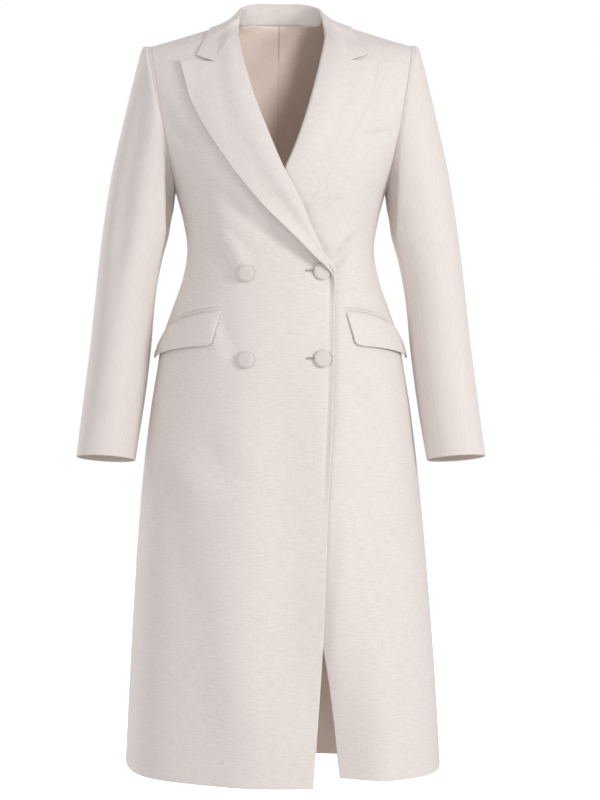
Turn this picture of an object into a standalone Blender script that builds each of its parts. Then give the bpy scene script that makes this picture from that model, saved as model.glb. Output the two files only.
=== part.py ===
"""A double-breasted wool coat, hollow and filled out as if worn.

Sizes are in millimetres and become metres when a mesh is made. +X is the left side of the coat as
worn, -Y is its front and +Z is up. The origin is between the shoulders, level with the neck points.
Every cloth piece is a wall: an outer skin worked out from the tables below, and the same skin moved
inwards by the thickness of the cloth.
"""
from math import pi, radians

import bmesh
import bpy
import numpy as np

MM = 0.001
CLOTH = 2.4              # thickness of the wool cloth
SEAM = 0.3               # gap between two pieces at a seam
REST = 0.5               # gap under a piece that lies on another
RIGHT, LEFT = -1, 1      # sides of the coat, as signs of x
FRONT, BACK = -1, 1      # faces of the coat, as signs of y

HEM_Z = -1121.0                         # hem at the right front's edge
SIDE_HEM_RISE = 13.0                    # how much higher the hem is at the side seams
EDGE_HEM_RISE = {"right": 0.0, "left": 9.0, "back": 4.0}   # and at the panels' inner edges
NECK_POINT = (62.0, 12.0, 4.0)          # where shoulder seam and neckline meet
BACK_NECK_Z = 2.0                       # neckline at the centre back
SHOULDER_X, SHOULDER_Z = 196.0, -36.0   # outer end of the shoulder seam
UNDERARM_X, UNDERARM_Z = 157.0, -258.0
ARMHOLE_Y, ARMHOLE_DEPTH = 4.0, 62.0    # middle and half depth of the armhole
ARMHOLE_SCOOP = -1.5                    # how far the front of the armhole is hollowed, minus if filled
ROUNDNESS = 2.2                         # superellipse power of the body's sections
SHOULDER_ROUNDNESS = 1.3                # the same where the sections end in the shoulder seam

# The skirt and waist at the side seams, and the coat's outline at the centre front and back.
SIDE_COLUMNS = ("z", "half_width", "side_y")
SIDE_LINE = np.array([
    (HEM_Z, 236.0, 15.0),
    (-970.0, 228.0, 12.0),
    (-800.0, 216.5, 10.0),
    (-660.0, 204.0, 8.0),
    (-568.0, 192.5, 6.0),
    (-523.0, 185.0, 6.0),
    (-478.0, 177.5, 5.0),
    (-433.0, 162.5, 4.0),
    (-390.0, 147.5, ARMHOLE_Y),
    (-345.0, 140.0, ARMHOLE_Y),
    (-300.0, 146.0, ARMHOLE_Y),
    (UNDERARM_Z, UNDERARM_X, ARMHOLE_Y),
])
CENTRE_COLUMNS = ("z", "front_y", "back_y")
CENTRE_LINE = np.array([
    (HEM_Z, -178.0, 158.0),
    (-970.0, -166.0, 150.0),
    (-800.0, -153.0, 141.0),
    (-660.0, -143.0, 133.0),
    (-568.0, -136.0, 127.0),
    (-478.0, -127.0, 117.0),
    (-410.0, -118.0, 103.0),
    (-345.0, -112.0, 93.0),
    (-300.0, -117.0, 95.0),
    (UNDERARM_Z, -126.0, 104.0),
    (-200.0, -128.0, 112.0),
    (-150.0, -118.0, 113.0),
    (-100.0, -97.0, 105.0),
    (-60.0, -70.0, 93.0),
    (-30.0, -42.0, 80.0),
    (BACK_NECK_Z, 8.0, 60.0),
    (NECK_POINT[2], NECK_POINT[1], 59.2),
])

# Front edges from the hem to the break, then the roll lines from the break to the neck points.
EDGE_COLUMNS = ("z", "right_x", "left_x")
FRONT_EDGE = np.array([
    (HEM_Z, 35.0, 77.0),
    (-914.0, 51.0, 51.0),
    (-760.0, 59.5, 15.0),
    (-568.0, 69.0, -35.0),
    (-430.0, 72.0, -62.0),
    (-384.0, 71.5, -66.0),
    (-366.0, 64.0, -64.0),
    (-324.0, 46.0, -46.0),
    (-278.0, 26.0, -24.0),
    (-232.0, 0.5, 0.5),
    (-178.0, -22.0, 22.5),
    (-113.0, -44.5, 42.5),
    (-66.0, -56.0, 54.0),
    (-24.0, -62.5, 62.5),
    (NECK_POINT[2], -NECK_POINT[0], NECK_POINT[0]),
])
OVERLAP = 8.5                           # how far the right front stands off the left one it covers
OVERLAP_X = (-115.0, -65.0)             # it rises to that between these distances from the middle
OVERLAP_Z = (-235.0, -150.0)            # and sinks back between these heights
LEFT_SWING = 28.0                       # how far the left front's lower edge falls back at the hem
LEFT_SWING_X = (60.0, 165.0)            # the swing dies out between these distances and heights
LEFT_SWING_Z = (HEM_Z, -820.0)
SHOULDER_NORMAL = (0.3, 0.0, 0.95)      # way out of the cloth along the shoulder seams
BACK_NECK_SHARE = 0.36                  # share of a back's top edge that is neckline

# Soft rolls of the skirt. Columns: angle from the centre front towards the left side, depth, spread.
SKIRT_ROLLS = np.array([
    (-64.0, 6.0, 13.0),
    (-36.0, -4.0, 13.0),
    (28.0, 5.0, 12.0),
    (50.0, -4.0, 12.0),
    (70.0, 5.0, 12.0),
    (112.0, 6.0, 12.0),
    (137.0, -5.0, 13.0),
    (163.0, 6.0, 12.0),
    (197.0, 6.0, 12.0),
    (223.0, -5.0, 13.0),
    (248.0, 6.0, 12.0),
])
ROLLS_TOP_Z = -540.0

# Sleeve sections from the armhole to the cuff, each an ellipse between its outer and inner points.
SLEEVE_COLUMNS = ("outer_x", "outer_z", "inner_x", "inner_z", "depth", "middle_y", "tilt")
SLEEVE = np.array([
    (SHOULDER_X, SHOULDER_Z, UNDERARM_X, UNDERARM_Z, ARMHOLE_DEPTH, ARMHOLE_Y, 0.0),
    (207.0, -39.5, 159.0, -263.0, 62.5, 3.5, 0.0),
    (215.0, -68.0, 160.5, -268.0, 63.0, 3.0, 0.0),
    (227.0, -118.0, 161.0, -274.0, 64.0, 2.0, 0.0),
    (238.5, -172.0, 161.0, -284.0, 65.0, 1.0, 0.0),
    (252.0, -232.0, 163.0, -300.0, 65.0, 1.0, 0.0),
    (262.5, -295.0, 166.0, -324.0, 62.5, 0.0, 0.0),
    (271.0, -360.0, 176.0, -362.0, 59.0, -2.0, -0.02),
    (278.0, -425.0, 187.5, -425.0, 56.0, -6.0, -0.05),
    (285.5, -500.0, 195.5, -500.0, 52.5, -13.0, -0.08),
    (294.5, -575.0, 204.5, -575.0, 49.0, -22.0, -0.11),
    (304.0, -652.0, 216.5, -657.0, 45.0, -33.0, -0.13),
])
FRONT_SLEEVE_SEAM = radians(-128)       # round the sleeve from its top, minus towards the front
BACK_SLEEVE_SEAM = radians(122)

# Lapel: each row runs from the roll line, at roll_z, out to a point of the lapel's edge.
LAPEL_COLUMNS = ("roll_z", "edge_z", "right_edge_x", "left_edge_x")
LAPEL = np.array([
    (-366.0, -371.0, -59.0, -59.0),
    (-324.0, -340.0, -14.0, -14.0),
    (-278.0, -296.0, 28.0, 32.0),
    (-232.0, -246.0, 66.0, 70.0),
    (-178.0, -187.0, 101.0, 99.0),
    (-113.0, -129.0, 130.0, 126.0),
    (-66.0, -90.0, 142.0, 137.0),
    (-24.0, -66.0, 149.0, 144.0),
])
GORGE_END = (96.0, -72.5)               # x and z of the notch, where collar and lapel part
GORGE_SHARE = 0.42                      # share of the lapel's top edge that is sewn to the collar
NOTCH_SHARE = 0.54                      # share of the collar's end that is sewn to the lapel
GORGE_GAP = 0.8                         # gap along x and z between collar and lapel at the gorge
LAPEL_REST, COLLAR_REST = 1.2, 2.8      # gaps under the lapels and under the ends of the collar
LAPEL_ROLL, LAPEL_ROLL_SHARE = 3.0, 0.22   # height of the fold at the roll line, share it takes
VISIBLE_ROLL_Z = (-250.0, -200.0)       # the left fold flattens here, under the right front

# Collar: each row runs from the fold over to the outer edge, from the centre back to the front.
COLLAR_COLUMNS = ("fold_x", "fold_y", "fold_z", "edge_x", "edge_y", "edge_z", "bulge")
COLLAR = np.array([
    (0.0, 73.0, 38.0, 0.0, 81.0, -16.0, 8.0),
    (34.0, 67.0, 37.0, 50.0, 71.0, -15.0, 7.0),
    (55.5, 45.0, 30.0, 88.0, 43.0, -9.0, 1.5),
    (64.5, 14.0, 20.0, 104.0, 12.0, -2.6, -3.0),
    (66.0, -14.0, 3.0, 110.0, -21.0, -19.0, 1.0),
    (63.0, -37.0, -24.0, 124.0, -60.0, -58.0, 4.0),
])
BULGE_FADE = 0.45                       # share of the bulge that is lost towards the outer edge
STAND_SIDE = 0.62                       # share of the stand's half that lies behind the neck point
STAND_FRONT_DROP = 22.0                 # how far its seam drops in front of the neck point
STAND_UNDER_FOLD = (3.0, 3.5)           # how far it stays inside and under the collar's fold
STAND_INSET, STAND_LIFT = 1.5, 0.8      # how far it stands inside and above the neckline
STAND_END = 0.9                         # share of the half neck where it ends

FLAP_INNER = ((91.0, -438.0), (105.0, -488.5))    # x and z of the flap's inner edge, top and bottom
FLAP_OUTER = ((163.0, -456.0), (182.5, -506.0))   # the same of its outer edge
FLAP_CORNER = (2.8, 4.8)                          # how far its inner lower corner is cut off
FLAP_STAND = 3.0                                  # how far its outer lower corner stands off
WELT_HEIGHT, WELT_GAP = 7.0, 0.6                  # the welt, and the gap between it and the flap
WELT_SHARES = (0.02, 0.94)                        # where it starts and ends, as shares of the flap's top
BUTTON_RADIUS, BUTTON_HEIGHT = 12.5, 6.5
BUTTON_PROFILE = ((0.55, 0.0), (0.94, 0.16), (1.0, 0.4), (0.93, 0.66), (0.7, 0.87), (0.36, 0.97))   # shares
BUTTON_COLUMNS_X = {"right": -55.0, "left": 55.0}
BUTTON_ROWS_Z = {"upper": -386.0, "lower": -511.0}

CLOTH_COLOUR = (0.76, 0.70, 0.665, 1.0)
BUTTON_COLOUR = (0.74, 0.68, 0.64, 1.0)


def through(knots, values, at):
    """A smooth curve through a table's rows: Hermite spans with central-difference slopes."""
    slopes = np.gradient(values, knots)
    at = np.clip(at, knots[0], knots[-1])
    i = np.clip(np.searchsorted(knots, at) - 1, 0, len(knots) - 2)
    span = knots[i + 1] - knots[i]
    f = (at - knots[i]) / span
    start = (1 + 2 * f) * (1 - f) ** 2 * values[i] + f * (1 - f) ** 2 * span * slopes[i]
    return start + f ** 2 * (3 - 2 * f) * values[i + 1] + f ** 2 * (f - 1) * span * slopes[i + 1]


def column(table, columns, name, at, by="z"):
    """A table's column at heights `at`, or at row numbers when `by` is None."""
    knots = np.arange(len(table), dtype=float) if by is None else table[:, columns.index(by)]
    return through(knots, table[:, columns.index(name)], at)


def ease(low, high, at):
    """0 below `low`, 1 above `high`, and a smooth step between."""
    f = np.clip((at - low) / (high - low), 0.0, 1.0)
    return f * f * (3 - 2 * f)


def side_of_body(z, face):
    """Distance from the middle and y of the panel's outer boundary at height z: the side seam,
    then the armhole's half ellipse, then the straight shoulder seam."""
    half = (SHOULDER_Z - UNDERARM_Z) / 2
    rise = np.clip((z - UNDERARM_Z - half) / half, -1.0, 1.0)
    round_share = np.sqrt(1 - rise ** 2)
    scoop = ARMHOLE_SCOOP * round_share * (face == FRONT)
    armhole_x = (SHOULDER_X + UNDERARM_X) / 2 + rise * (SHOULDER_X - UNDERARM_X) / 2 - scoop
    armhole_y = ARMHOLE_Y + face * ARMHOLE_DEPTH * round_share
    up = np.clip((z - SHOULDER_Z) / (NECK_POINT[2] - SHOULDER_Z), 0.0, 1.0)
    shoulder_x = SHOULDER_X + up * (NECK_POINT[0] - SHOULDER_X)
    shoulder_y = ARMHOLE_Y + up * (NECK_POINT[1] - ARMHOLE_Y)
    x = np.where(z < UNDERARM_Z, column(SIDE_LINE, SIDE_COLUMNS, "half_width", z),
                 np.where(z < SHOULDER_Z, armhole_x, shoulder_x))
    y = np.where(z < UNDERARM_Z, column(SIDE_LINE, SIDE_COLUMNS, "side_y", z),
                 np.where(z < SHOULDER_Z, armhole_y, shoulder_y))
    return x, y


def depth_of_body(x, z, face):
    """y of the body's skin: from the sides' y to the centre line's, as a superellipse in x that goes on
    past the armhole, so far that it passes through the armhole's edge."""
    edge_x, edge_y = side_of_body(z, face)
    base_y = np.where((z > UNDERARM_Z) & (z < SHOULDER_Z), ARMHOLE_Y, edge_y)
    centre_y = column(CENTRE_LINE, CENTRE_COLUMNS, "front_y" if face == FRONT else "back_y", z)
    power = ROUNDNESS + (SHOULDER_ROUNDNESS - ROUNDNESS) * ease(UNDERARM_Z, SHOULDER_Z, z)
    edge_share = np.abs(edge_y - base_y) / np.maximum(np.abs(centre_y - base_y), 1e-6)
    reach = edge_x / (1 - np.minimum(edge_share, 0.98) ** power) ** (1 / ROUNDNESS)
    share = np.clip(1 - np.abs(x / reach) ** ROUNDNESS, 0.0, 1.0) ** (1 / power)
    return base_y + (centre_y - base_y) * share


def front_skin(side, x, z, height=0.0):
    """Points of a front's outer face at x and z, moved out by `height` along its normal. The right
    front stands off the left one where it covers it, and the left one's lower edge falls back."""
    def depth(px, pz):
        y = depth_of_body(px, pz, FRONT)
        if side == RIGHT:
            return y - OVERLAP * ease(*OVERLAP_X, px) * (1 - ease(*OVERLAP_Z, pz))
        return y + LEFT_SWING * (1 - ease(*LEFT_SWING_X, px)) * (1 - ease(*LEFT_SWING_Z, pz))

    step = 0.5
    slope_x = (depth(x + step, z) - depth(x - step, z)) / (2 * step)
    slope_z = (depth(x, z + step) - depth(x, z - step)) / (2 * step)
    length = np.sqrt(1 + slope_x ** 2 + slope_z ** 2)
    y = depth(x, z)
    return np.stack([x + height * slope_x / length, y - height / length, z + height * slope_z / length], -1)


def skirt_rolls(points):
    """Move points away from the coat's axis by the soft rolls, which grow towards the hem."""
    angle = np.degrees(np.arctan2(points[..., 0], -points[..., 1]))
    grow = 1 - ease(HEM_Z, ROLLS_TOP_Z, points[..., 2])
    out = np.zeros_like(angle)
    for roll_angle, depth, spread in SKIRT_ROLLS:
        turn = (angle - roll_angle + 180) % 360 - 180
        out += depth * np.exp(-(turn / spread) ** 2)
    reach = np.hypot(points[..., 0], points[..., 1])
    scale = 1 + grow * out / reach
    return points * np.stack([scale, scale, np.ones_like(scale)], -1)


def panel_skin(side, face):
    """A front or back panel as a function of across, 0 at its edge to 1 at the side seam, armhole
    or shoulder end, and up, 0 at the hem, 1 at the underarm and 2 at the shoulder seam."""
    neck_share = 0.0 if face == FRONT else BACK_NECK_SHARE

    def edge(z):
        if face == BACK:
            return np.zeros_like(z)
        return side * column(FRONT_EDGE, EDGE_COLUMNS, "right_x" if side == RIGHT else "left_x", z)

    def skin(across, up):
        level = EDGE_HEM_RISE["back" if face == BACK else "right" if side == RIGHT else "left"]
        hem = HEM_Z + level + (SIDE_HEM_RISE - level) * across ** 2
        below = hem + np.clip(up, 0, 1) * (UNDERARM_Z - hem)
        rise = 0.5 - 0.5 * np.cos(pi * np.clip(up - 1, 0, 1))
        shoulder = np.clip((across - neck_share) / (1 - neck_share), 0, 1)
        neck = np.clip(across / neck_share, 0, 1) if neck_share else np.ones_like(across)
        top_x = NECK_POINT[0] * neck + (SHOULDER_X - NECK_POINT[0]) * shoulder
        top_z = BACK_NECK_Z + (NECK_POINT[2] - BACK_NECK_Z) * neck ** 2
        top_z = top_z + (SHOULDER_Z - NECK_POINT[2]) * shoulder
        z = below + rise * (top_z - UNDERARM_Z)
        edge_z = below + rise * ((NECK_POINT[2] if face == FRONT else BACK_NECK_Z) - UNDERARM_Z)
        start = edge(edge_z)
        end = side_of_body(below + rise * (SHOULDER_Z - UNDERARM_Z), face)[0]
        first = np.sign(start) * np.arcsin(np.clip(np.abs(start / end), 0, 1) ** (ROUNDNESS / 2))
        turn = first + (pi / 2 - first) * across
        round_x = end * np.sign(np.sin(turn)) * np.abs(np.sin(turn)) ** (2 / ROUNDNESS)
        top_start = NECK_POINT[0] if face == FRONT else 0.0
        straight_x = start + (end - start) * (top_x - top_start) / (SHOULDER_X - top_start)
        lean = np.clip(up - 1, 0, 1)
        x = side * ((1 - lean) * round_x + lean * straight_x)
        if face == FRONT:
            return skirt_rolls(front_skin(side, x, z))
        return skirt_rolls(np.stack([x, depth_of_body(x, z, BACK), z], -1))
    return skin


def sleeve_skin(side):
    """A sleeve as a function of the angle round it and of the row of its table: an ellipse between
    the row's outer and inner points, with the row's depth towards front and back."""
    def skin(angle, row):
        def size(name):
            return column(SLEEVE, SLEEVE_COLUMNS, name, row, by=None)
        reach, sway = np.cos(angle), np.sin(angle)
        scoop = ARMHOLE_SCOOP * np.clip(-sway, 0, 1) * np.clip(1 - row, 0, 1)
        x = (size("outer_x") + size("inner_x")) / 2 + reach * (size("outer_x") - size("inner_x")) / 2
        z = (size("outer_z") + size("inner_z")) / 2 + reach * (size("outer_z") - size("inner_z")) / 2
        y = size("middle_y") + size("depth") * sway
        return np.stack([side * (x - scoop + SEAM), y, z + size("tilt") * size("depth") * sway], -1)
    return skin


def lapel_skin(side, height):
    """A lapel as a function of across, 0 at the roll line to 1 at its edge, and along, 0 at the
    break to 1 at the top edge, which bends at the notch. It lies on its front, moved out."""
    name = "right_x" if side == RIGHT else "left_x"
    edge_name = "right_edge_x" if side == RIGHT else "left_edge_x"

    def skin(across, along):
        row = along * (len(LAPEL) - 1)
        roll_z = column(LAPEL, LAPEL_COLUMNS, "roll_z", row, by=None)
        roll_x = side * column(FRONT_EDGE, EDGE_COLUMNS, name, roll_z)
        edge_x = column(LAPEL, LAPEL_COLUMNS, edge_name, row, by=None)
        edge_z = column(LAPEL, LAPEL_COLUMNS, "edge_z", row, by=None)
        tent = np.minimum(across / GORGE_SHARE, (1 - across) / (1 - GORGE_SHARE)) * along ** 4
        last_x = LAPEL[-1, LAPEL_COLUMNS.index(edge_name)]
        straight_x = NECK_POINT[0] + GORGE_SHARE * (last_x - NECK_POINT[0])
        straight_z = LAPEL[-1, 0] + GORGE_SHARE * (LAPEL[-1, 1] - LAPEL[-1, 0])
        x = roll_x + (edge_x - roll_x) * across + tent * (GORGE_END[0] - straight_x)
        z = roll_z + (edge_z - roll_z) * across + tent * (GORGE_END[1] - straight_z)
        shown = 1.0 if side == RIGHT else ease(*VISIBLE_ROLL_Z, z)
        lift = LAPEL_REST + height + LAPEL_ROLL * np.exp(-(across / LAPEL_ROLL_SHARE) ** 2) * shown
        return front_skin(side, side * x, z, lift)
    return skin


def collar_fall_skin(inset):
    """The collar fall as a function of across, 0 at the fold to 1 at its outer edge, and along, -1
    at the right front end to 1 at the left one. A parabola bulges each row out between its ends,
    and the last rows come down onto the front, where the end row follows the gorge."""
    def skin(across, along):
        side = np.where(along < 0, RIGHT, LEFT)
        row = np.abs(along) * (len(COLLAR) - 1)

        def size(name):
            return column(COLLAR, COLLAR_COLUMNS, name, row, by=None)
        run_x, run_y = size("edge_x") - size("fold_x"), size("edge_y") - size("fold_y")
        drop = size("fold_z") - size("edge_z")
        ahead = size("fold_y") - NECK_POINT[1]
        away = np.hypot(size("fold_x"), ahead)
        normal = np.stack([drop * size("fold_x") / away, drop * ahead / away, np.hypot(run_x, run_y)], -1)
        normal = normal / np.linalg.norm(normal, axis=-1, keepdims=True)
        bulge = size("bulge") * 4 * across * (1 - across) * (1 - BULGE_FADE * across) - inset
        at_end = np.clip(row - (len(COLLAR) - 2), 0, 1) ** 2
        tent = np.minimum(across / NOTCH_SHARE, (1 - across) / (1 - NOTCH_SHARE)) * at_end
        straight_x = COLLAR[-1, 0] + NOTCH_SHARE * (COLLAR[-1, 3] - COLLAR[-1, 0])
        straight_z = COLLAR[-1, 2] + NOTCH_SHARE * (COLLAR[-1, 5] - COLLAR[-1, 2])
        x = size("fold_x") + run_x * across + tent * (GORGE_END[0] - straight_x) + GORGE_GAP * at_end
        z = size("fold_z") - drop * across + tent * (GORGE_END[1] - straight_z) + GORGE_GAP * at_end
        points = np.stack([x, size("fold_y") + run_y * across, z], -1) + normal * bulge[..., None]
        lying = front_skin(LEFT, x, z, COLLAR_REST + CLOTH - inset)
        points = points + (lying - points) * ease(0.1, 0.9, row - (len(COLLAR) - 2))[..., None]
        return points * np.stack([side, np.ones_like(x), np.ones_like(x)], -1)
    return skin


def normals(skin, u, v, u_range, v_range, inside):
    """Unit normals of a skin from small steps along its two parameters, pointing away from the
    points `inside`."""
    step = 1e-3
    low_u, high_u = (np.clip(u + d * step, *u_range) for d in (-1, 1))
    low_v, high_v = (np.clip(v + d * step, *v_range) for d in (-1, 1))
    normal = np.cross(skin(high_u, v) - skin(low_u, v), skin(u, high_v) - skin(u, low_v))
    normal = normal / np.maximum(np.linalg.norm(normal, axis=-1, keepdims=True), 1e-12)
    return normal * np.sign(np.sum(normal * (skin(u, v) - inside)))


def add_solid(name, points, faces, colour, roughness):
    """One named object with its own material, its faces turned outwards."""
    mesh = bpy.data.meshes.new(name)
    mesh.from_pydata((points * MM).tolist(), [], faces)
    shell = bmesh.new()
    shell.from_mesh(mesh)
    bmesh.ops.recalc_face_normals(shell, faces=shell.faces)
    shell.to_mesh(mesh)
    shell.free()
    mesh.shade_smooth()
    mesh.set_sharp_from_angle(angle=radians(50))
    material = bpy.data.materials.new(name)
    material.use_nodes = True
    shader = material.node_tree.nodes["Principled BSDF"]
    shader.inputs["Base Color"].default_value = colour
    shader.inputs["Roughness"].default_value = roughness
    shader.inputs["Metallic"].default_value = 0.0
    mesh.materials.append(material)
    made = bpy.data.objects.new(name, mesh)
    bpy.context.scene.collection.objects.link(made)
    return made


def add_wall(name, outer, inner, colour=CLOTH_COLOUR, roughness=0.9):
    """A closed wall between two grids of points, joined round their rim."""
    rows, columns = outer.shape[:2]
    index = np.arange(rows * columns).reshape(rows, columns)
    far = rows * columns
    cells = np.stack([index[:-1, :-1], index[1:, :-1], index[1:, 1:], index[:-1, 1:]], -1).reshape(-1, 4)
    rim = np.concatenate([index[0, :-1], index[:-1, -1], index[-1, :0:-1], index[:0:-1, 0]])
    after = np.roll(rim, -1)
    strip = np.stack([rim, after, after + far, rim + far], -1)
    faces = np.concatenate([cells, cells[:, ::-1] + far, strip]).tolist()
    return add_solid(name, np.concatenate([outer.reshape(-1, 3), inner.reshape(-1, 3)]), faces,
                     colour, roughness)


def add_panel(name, side, face, across, up):
    """A front or back: its skin, the same skin moved in, and half a seam's gap at its seams."""
    skin = panel_skin(side, face)
    u, v = np.meshgrid(across, up)
    outer = skin(u, v)
    axis = np.stack([np.zeros_like(u), np.zeros_like(u), outer[..., 2]], -1)
    normal = normals(skin, u, v, (0, 1), (0, 2), axis)
    below = up <= 1.0
    normal[below, -1, 1] = 0.0
    shoulder = across >= (0.0 if face == FRONT else BACK_NECK_SHARE)
    normal[-1, shoulder] = np.multiply(SHOULDER_NORMAL, (side, 1, 1))
    if face == BACK:
        normal[:, 0, 0] = 0.0
        outer[:, 0, 0] = side * SEAM / 2
    normal /= np.linalg.norm(normal, axis=-1, keepdims=True)
    outer[below, -1, 1] += face * SEAM / 2
    outer[-1, :, 1] += face * SEAM / 2
    return add_wall(name, outer, outer - CLOTH * normal)


def add_sleeve(name, side, first, last, angles):
    """One piece of a sleeve between two seams, its skin moved in by the cloth's thickness."""
    skin = sleeve_skin(side)
    gap = SEAM / (2 * ARMHOLE_DEPTH)
    rows = np.concatenate([np.arange(0, 8, 0.5), np.arange(8, len(SLEEVE))])
    u, v = np.meshgrid(np.linspace(first + gap, last - gap, angles), rows)
    outer = skin(u, v)
    middle = (skin(np.zeros_like(u), v) + skin(np.full_like(u, pi), v)) / 2
    last_row = len(SLEEVE) - 1
    return add_wall(name, outer, outer - CLOTH * normals(skin, u, v, (-9, 9), (0, last_row), middle))


def add_lapel(name, side):
    """A lapel: two skins on the front, one cloth thickness apart."""
    across = np.concatenate([np.linspace(0, GORGE_SHARE, 5), np.linspace(GORGE_SHARE, 1, 6)[1:]])
    u, v = np.meshgrid(across, np.linspace(0, 1, 18))
    return add_wall(name, lapel_skin(side, CLOTH)(u, v), lapel_skin(side, 0.0)(u, v))


def add_collar_fall():
    """The collar's outer leaf, from its right front end round the neck to its left one."""
    across = np.concatenate([np.linspace(0, NOTCH_SHARE, 5), np.linspace(NOTCH_SHARE, 1, 5)[1:]])
    u, v = np.meshgrid(across, np.linspace(-1, 1, 29))
    return add_wall("collar_fall", collar_fall_skin(0.0)(u, v), collar_fall_skin(CLOTH)(u, v))


def collar_stand_skin(inset):
    """The stand as a function of height, 0 at the neck seam to 1 just under the fold, and along,
    -1 at the right front end to 1 at the left one. Its seam is half an ellipse behind the neck
    points, and runs down the fronts before them."""
    def skin(height, along):
        row = np.abs(along) * (len(COLLAR) - 1.3)

        def size(name):
            return column(COLLAR, COLLAR_COLUMNS, name, row, by=None)
        turn = np.clip(np.abs(along) / STAND_SIDE, 0, 1) * pi / 2
        ahead = np.clip((np.abs(along) - STAND_SIDE) / (1 - STAND_SIDE), 0, 1)
        seam_z = BACK_NECK_Z + (NECK_POINT[2] - BACK_NECK_Z) * np.sin(turn) ** 2 - STAND_FRONT_DROP * ahead
        seam_x = NECK_POINT[0] * np.sin(turn)
        seam_back = NECK_POINT[1] + (CENTRE_LINE[-2, 2] - NECK_POINT[1]) * np.cos(turn)
        seam_y = np.where(ahead > 0, depth_of_body(seam_x, seam_z, FRONT), seam_back)
        reach = np.hypot(seam_x, seam_y - NECK_POINT[1])
        shrink = 1 - (inset + STAND_INSET) / np.maximum(reach, 20.0)
        x = (seam_x + (size("fold_x") - STAND_UNDER_FOLD[0] - seam_x) * height * np.sin(turn)) * shrink
        y = seam_y + (size("fold_y") - STAND_UNDER_FOLD[0] * np.cos(turn) - seam_y) * height
        y = NECK_POINT[1] + (y - NECK_POINT[1]) * shrink
        z = seam_z + STAND_LIFT + (size("fold_z") - STAND_UNDER_FOLD[1] - seam_z) * height
        return np.stack([np.sign(along) * x, y, z], -1)
    return skin


def add_collar_stand():
    """The collar's inner band, standing on the neckline."""
    u, v = np.meshgrid(np.linspace(0, 1, 4), np.linspace(-STAND_END, STAND_END, 25))
    return add_wall("collar_stand", collar_stand_skin(0.0)(u, v), collar_stand_skin(CLOTH)(u, v))


def flap_place(side, across, down):
    """x and z of a flap's point, across from its inner edge to its outer one and down from its top:
    straight lines in height and in the angle round the body."""
    (top_x, top_z), (low_x, low_z) = FLAP_INNER
    (far_x, far_z), (tip_x, tip_z) = FLAP_OUTER
    turn_top, turn_far = (np.arcsin(x / side_of_body(np.float64(z), FRONT)[0])
                          for x, z in ((top_x, top_z), (far_x, far_z)))
    turn_low, turn_tip = (np.arcsin(min(x / side_of_body(np.float64(z), FRONT)[0], 1.0))
                          for x, z in ((low_x, low_z), (tip_x, tip_z)))
    first = turn_top + (turn_low - turn_top) * down
    last = turn_far + (turn_tip - turn_far) * down
    turn = first + (last - first) * across
    start_z = top_z + (low_z - top_z) * down
    end_z = far_z + (tip_z - far_z) * down
    z = start_z + (end_z - start_z) * across
    return side * side_of_body(z, FRONT)[0] * np.sin(turn), z


def add_flap(side, word):
    """A pocket flap and the welt above it, both from the front's points moved out."""
    u, v = np.meshgrid(np.linspace(0, 1, 11), np.linspace(0, 1, 6))
    x, z = flap_place(side, u, v)
    corner = (u == 0) & (v == 1)
    x, z = x + side * FLAP_CORNER[0] * corner, z + FLAP_CORNER[1] * corner
    stand = REST + CLOTH + FLAP_STAND * v * u
    add_wall("pocket_flap_" + word, front_skin(side, x, z, stand + CLOTH), front_skin(side, x, z, stand))
    u, v = np.meshgrid(np.linspace(*WELT_SHARES, 9), np.linspace(0, 1, 3))
    x, z = flap_place(side, u, np.zeros_like(v))
    z = z + WELT_GAP + WELT_HEIGHT * v
    add_wall("pocket_welt_" + word, front_skin(side, x, z, REST + CLOTH), front_skin(side, x, z, REST))


def add_button(name, x, z):
    """A covered button: a low dome turned round the front's normal, with a small flat back."""
    seat = front_skin(RIGHT, np.float64(x), np.float64(z), REST)
    normal = front_skin(RIGHT, np.float64(x), np.float64(z), REST + 1.0) - seat
    right = np.cross(normal, (0.0, 0.0, 1.0))
    right /= np.linalg.norm(right)
    up = np.cross(right, normal)
    turns = np.linspace(0, 2 * pi, 20, endpoint=False)
    circle = np.cos(turns)[:, None] * right + np.sin(turns)[:, None] * up
    rings = [seat + BUTTON_RADIUS * share * circle + BUTTON_HEIGHT * rise * normal
             for share, rise in BUTTON_PROFILE]
    points = np.concatenate(rings + [seat[None], (seat + BUTTON_HEIGHT * normal)[None]])
    count = len(turns)
    faces = []
    for ring in range(len(BUTTON_PROFILE) - 1):
        for i in range(count):
            j = (i + 1) % count
            a, b = ring * count, (ring + 1) * count
            faces.append((a + i, a + j, b + j, b + i))
    bottom, top = len(points) - 2, len(points) - 1
    for i in range(count):
        j = (i + 1) % count
        faces.append((bottom, j, i))
        last = (len(BUTTON_PROFILE) - 1) * count
        faces.append((top, last + i, last + j))
    return add_solid(name, points, faces, BUTTON_COLOUR, 0.75)


for old in list(bpy.data.objects):
    bpy.data.objects.remove(old, do_unlink=True)

PANEL_UP = np.concatenate([np.linspace(0, 0.62, 10), np.linspace(0.62, 1, 9)[1:], np.linspace(1, 2, 11)[1:]])
FRONT_ACROSS = np.linspace(0, 1, 14)
BACK_ACROSS = np.concatenate([np.linspace(0, BACK_NECK_SHARE, 5), np.linspace(BACK_NECK_SHARE, 1, 8)[1:]])
for word, sign in (("right", RIGHT), ("left", LEFT)):
    add_panel("front_" + word, sign, FRONT, FRONT_ACROSS, PANEL_UP)
    add_panel("back_" + word, sign, BACK, BACK_ACROSS, PANEL_UP)
    add_sleeve(f"sleeve_{word}_upper", sign, FRONT_SLEEVE_SEAM, BACK_SLEEVE_SEAM, 17)
    add_sleeve(f"sleeve_{word}_under", sign, BACK_SLEEVE_SEAM, FRONT_SLEEVE_SEAM + 2 * pi, 9)
    add_lapel("lapel_" + word, sign)
    add_flap(sign, word)
add_collar_stand()
add_collar_fall()
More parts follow.
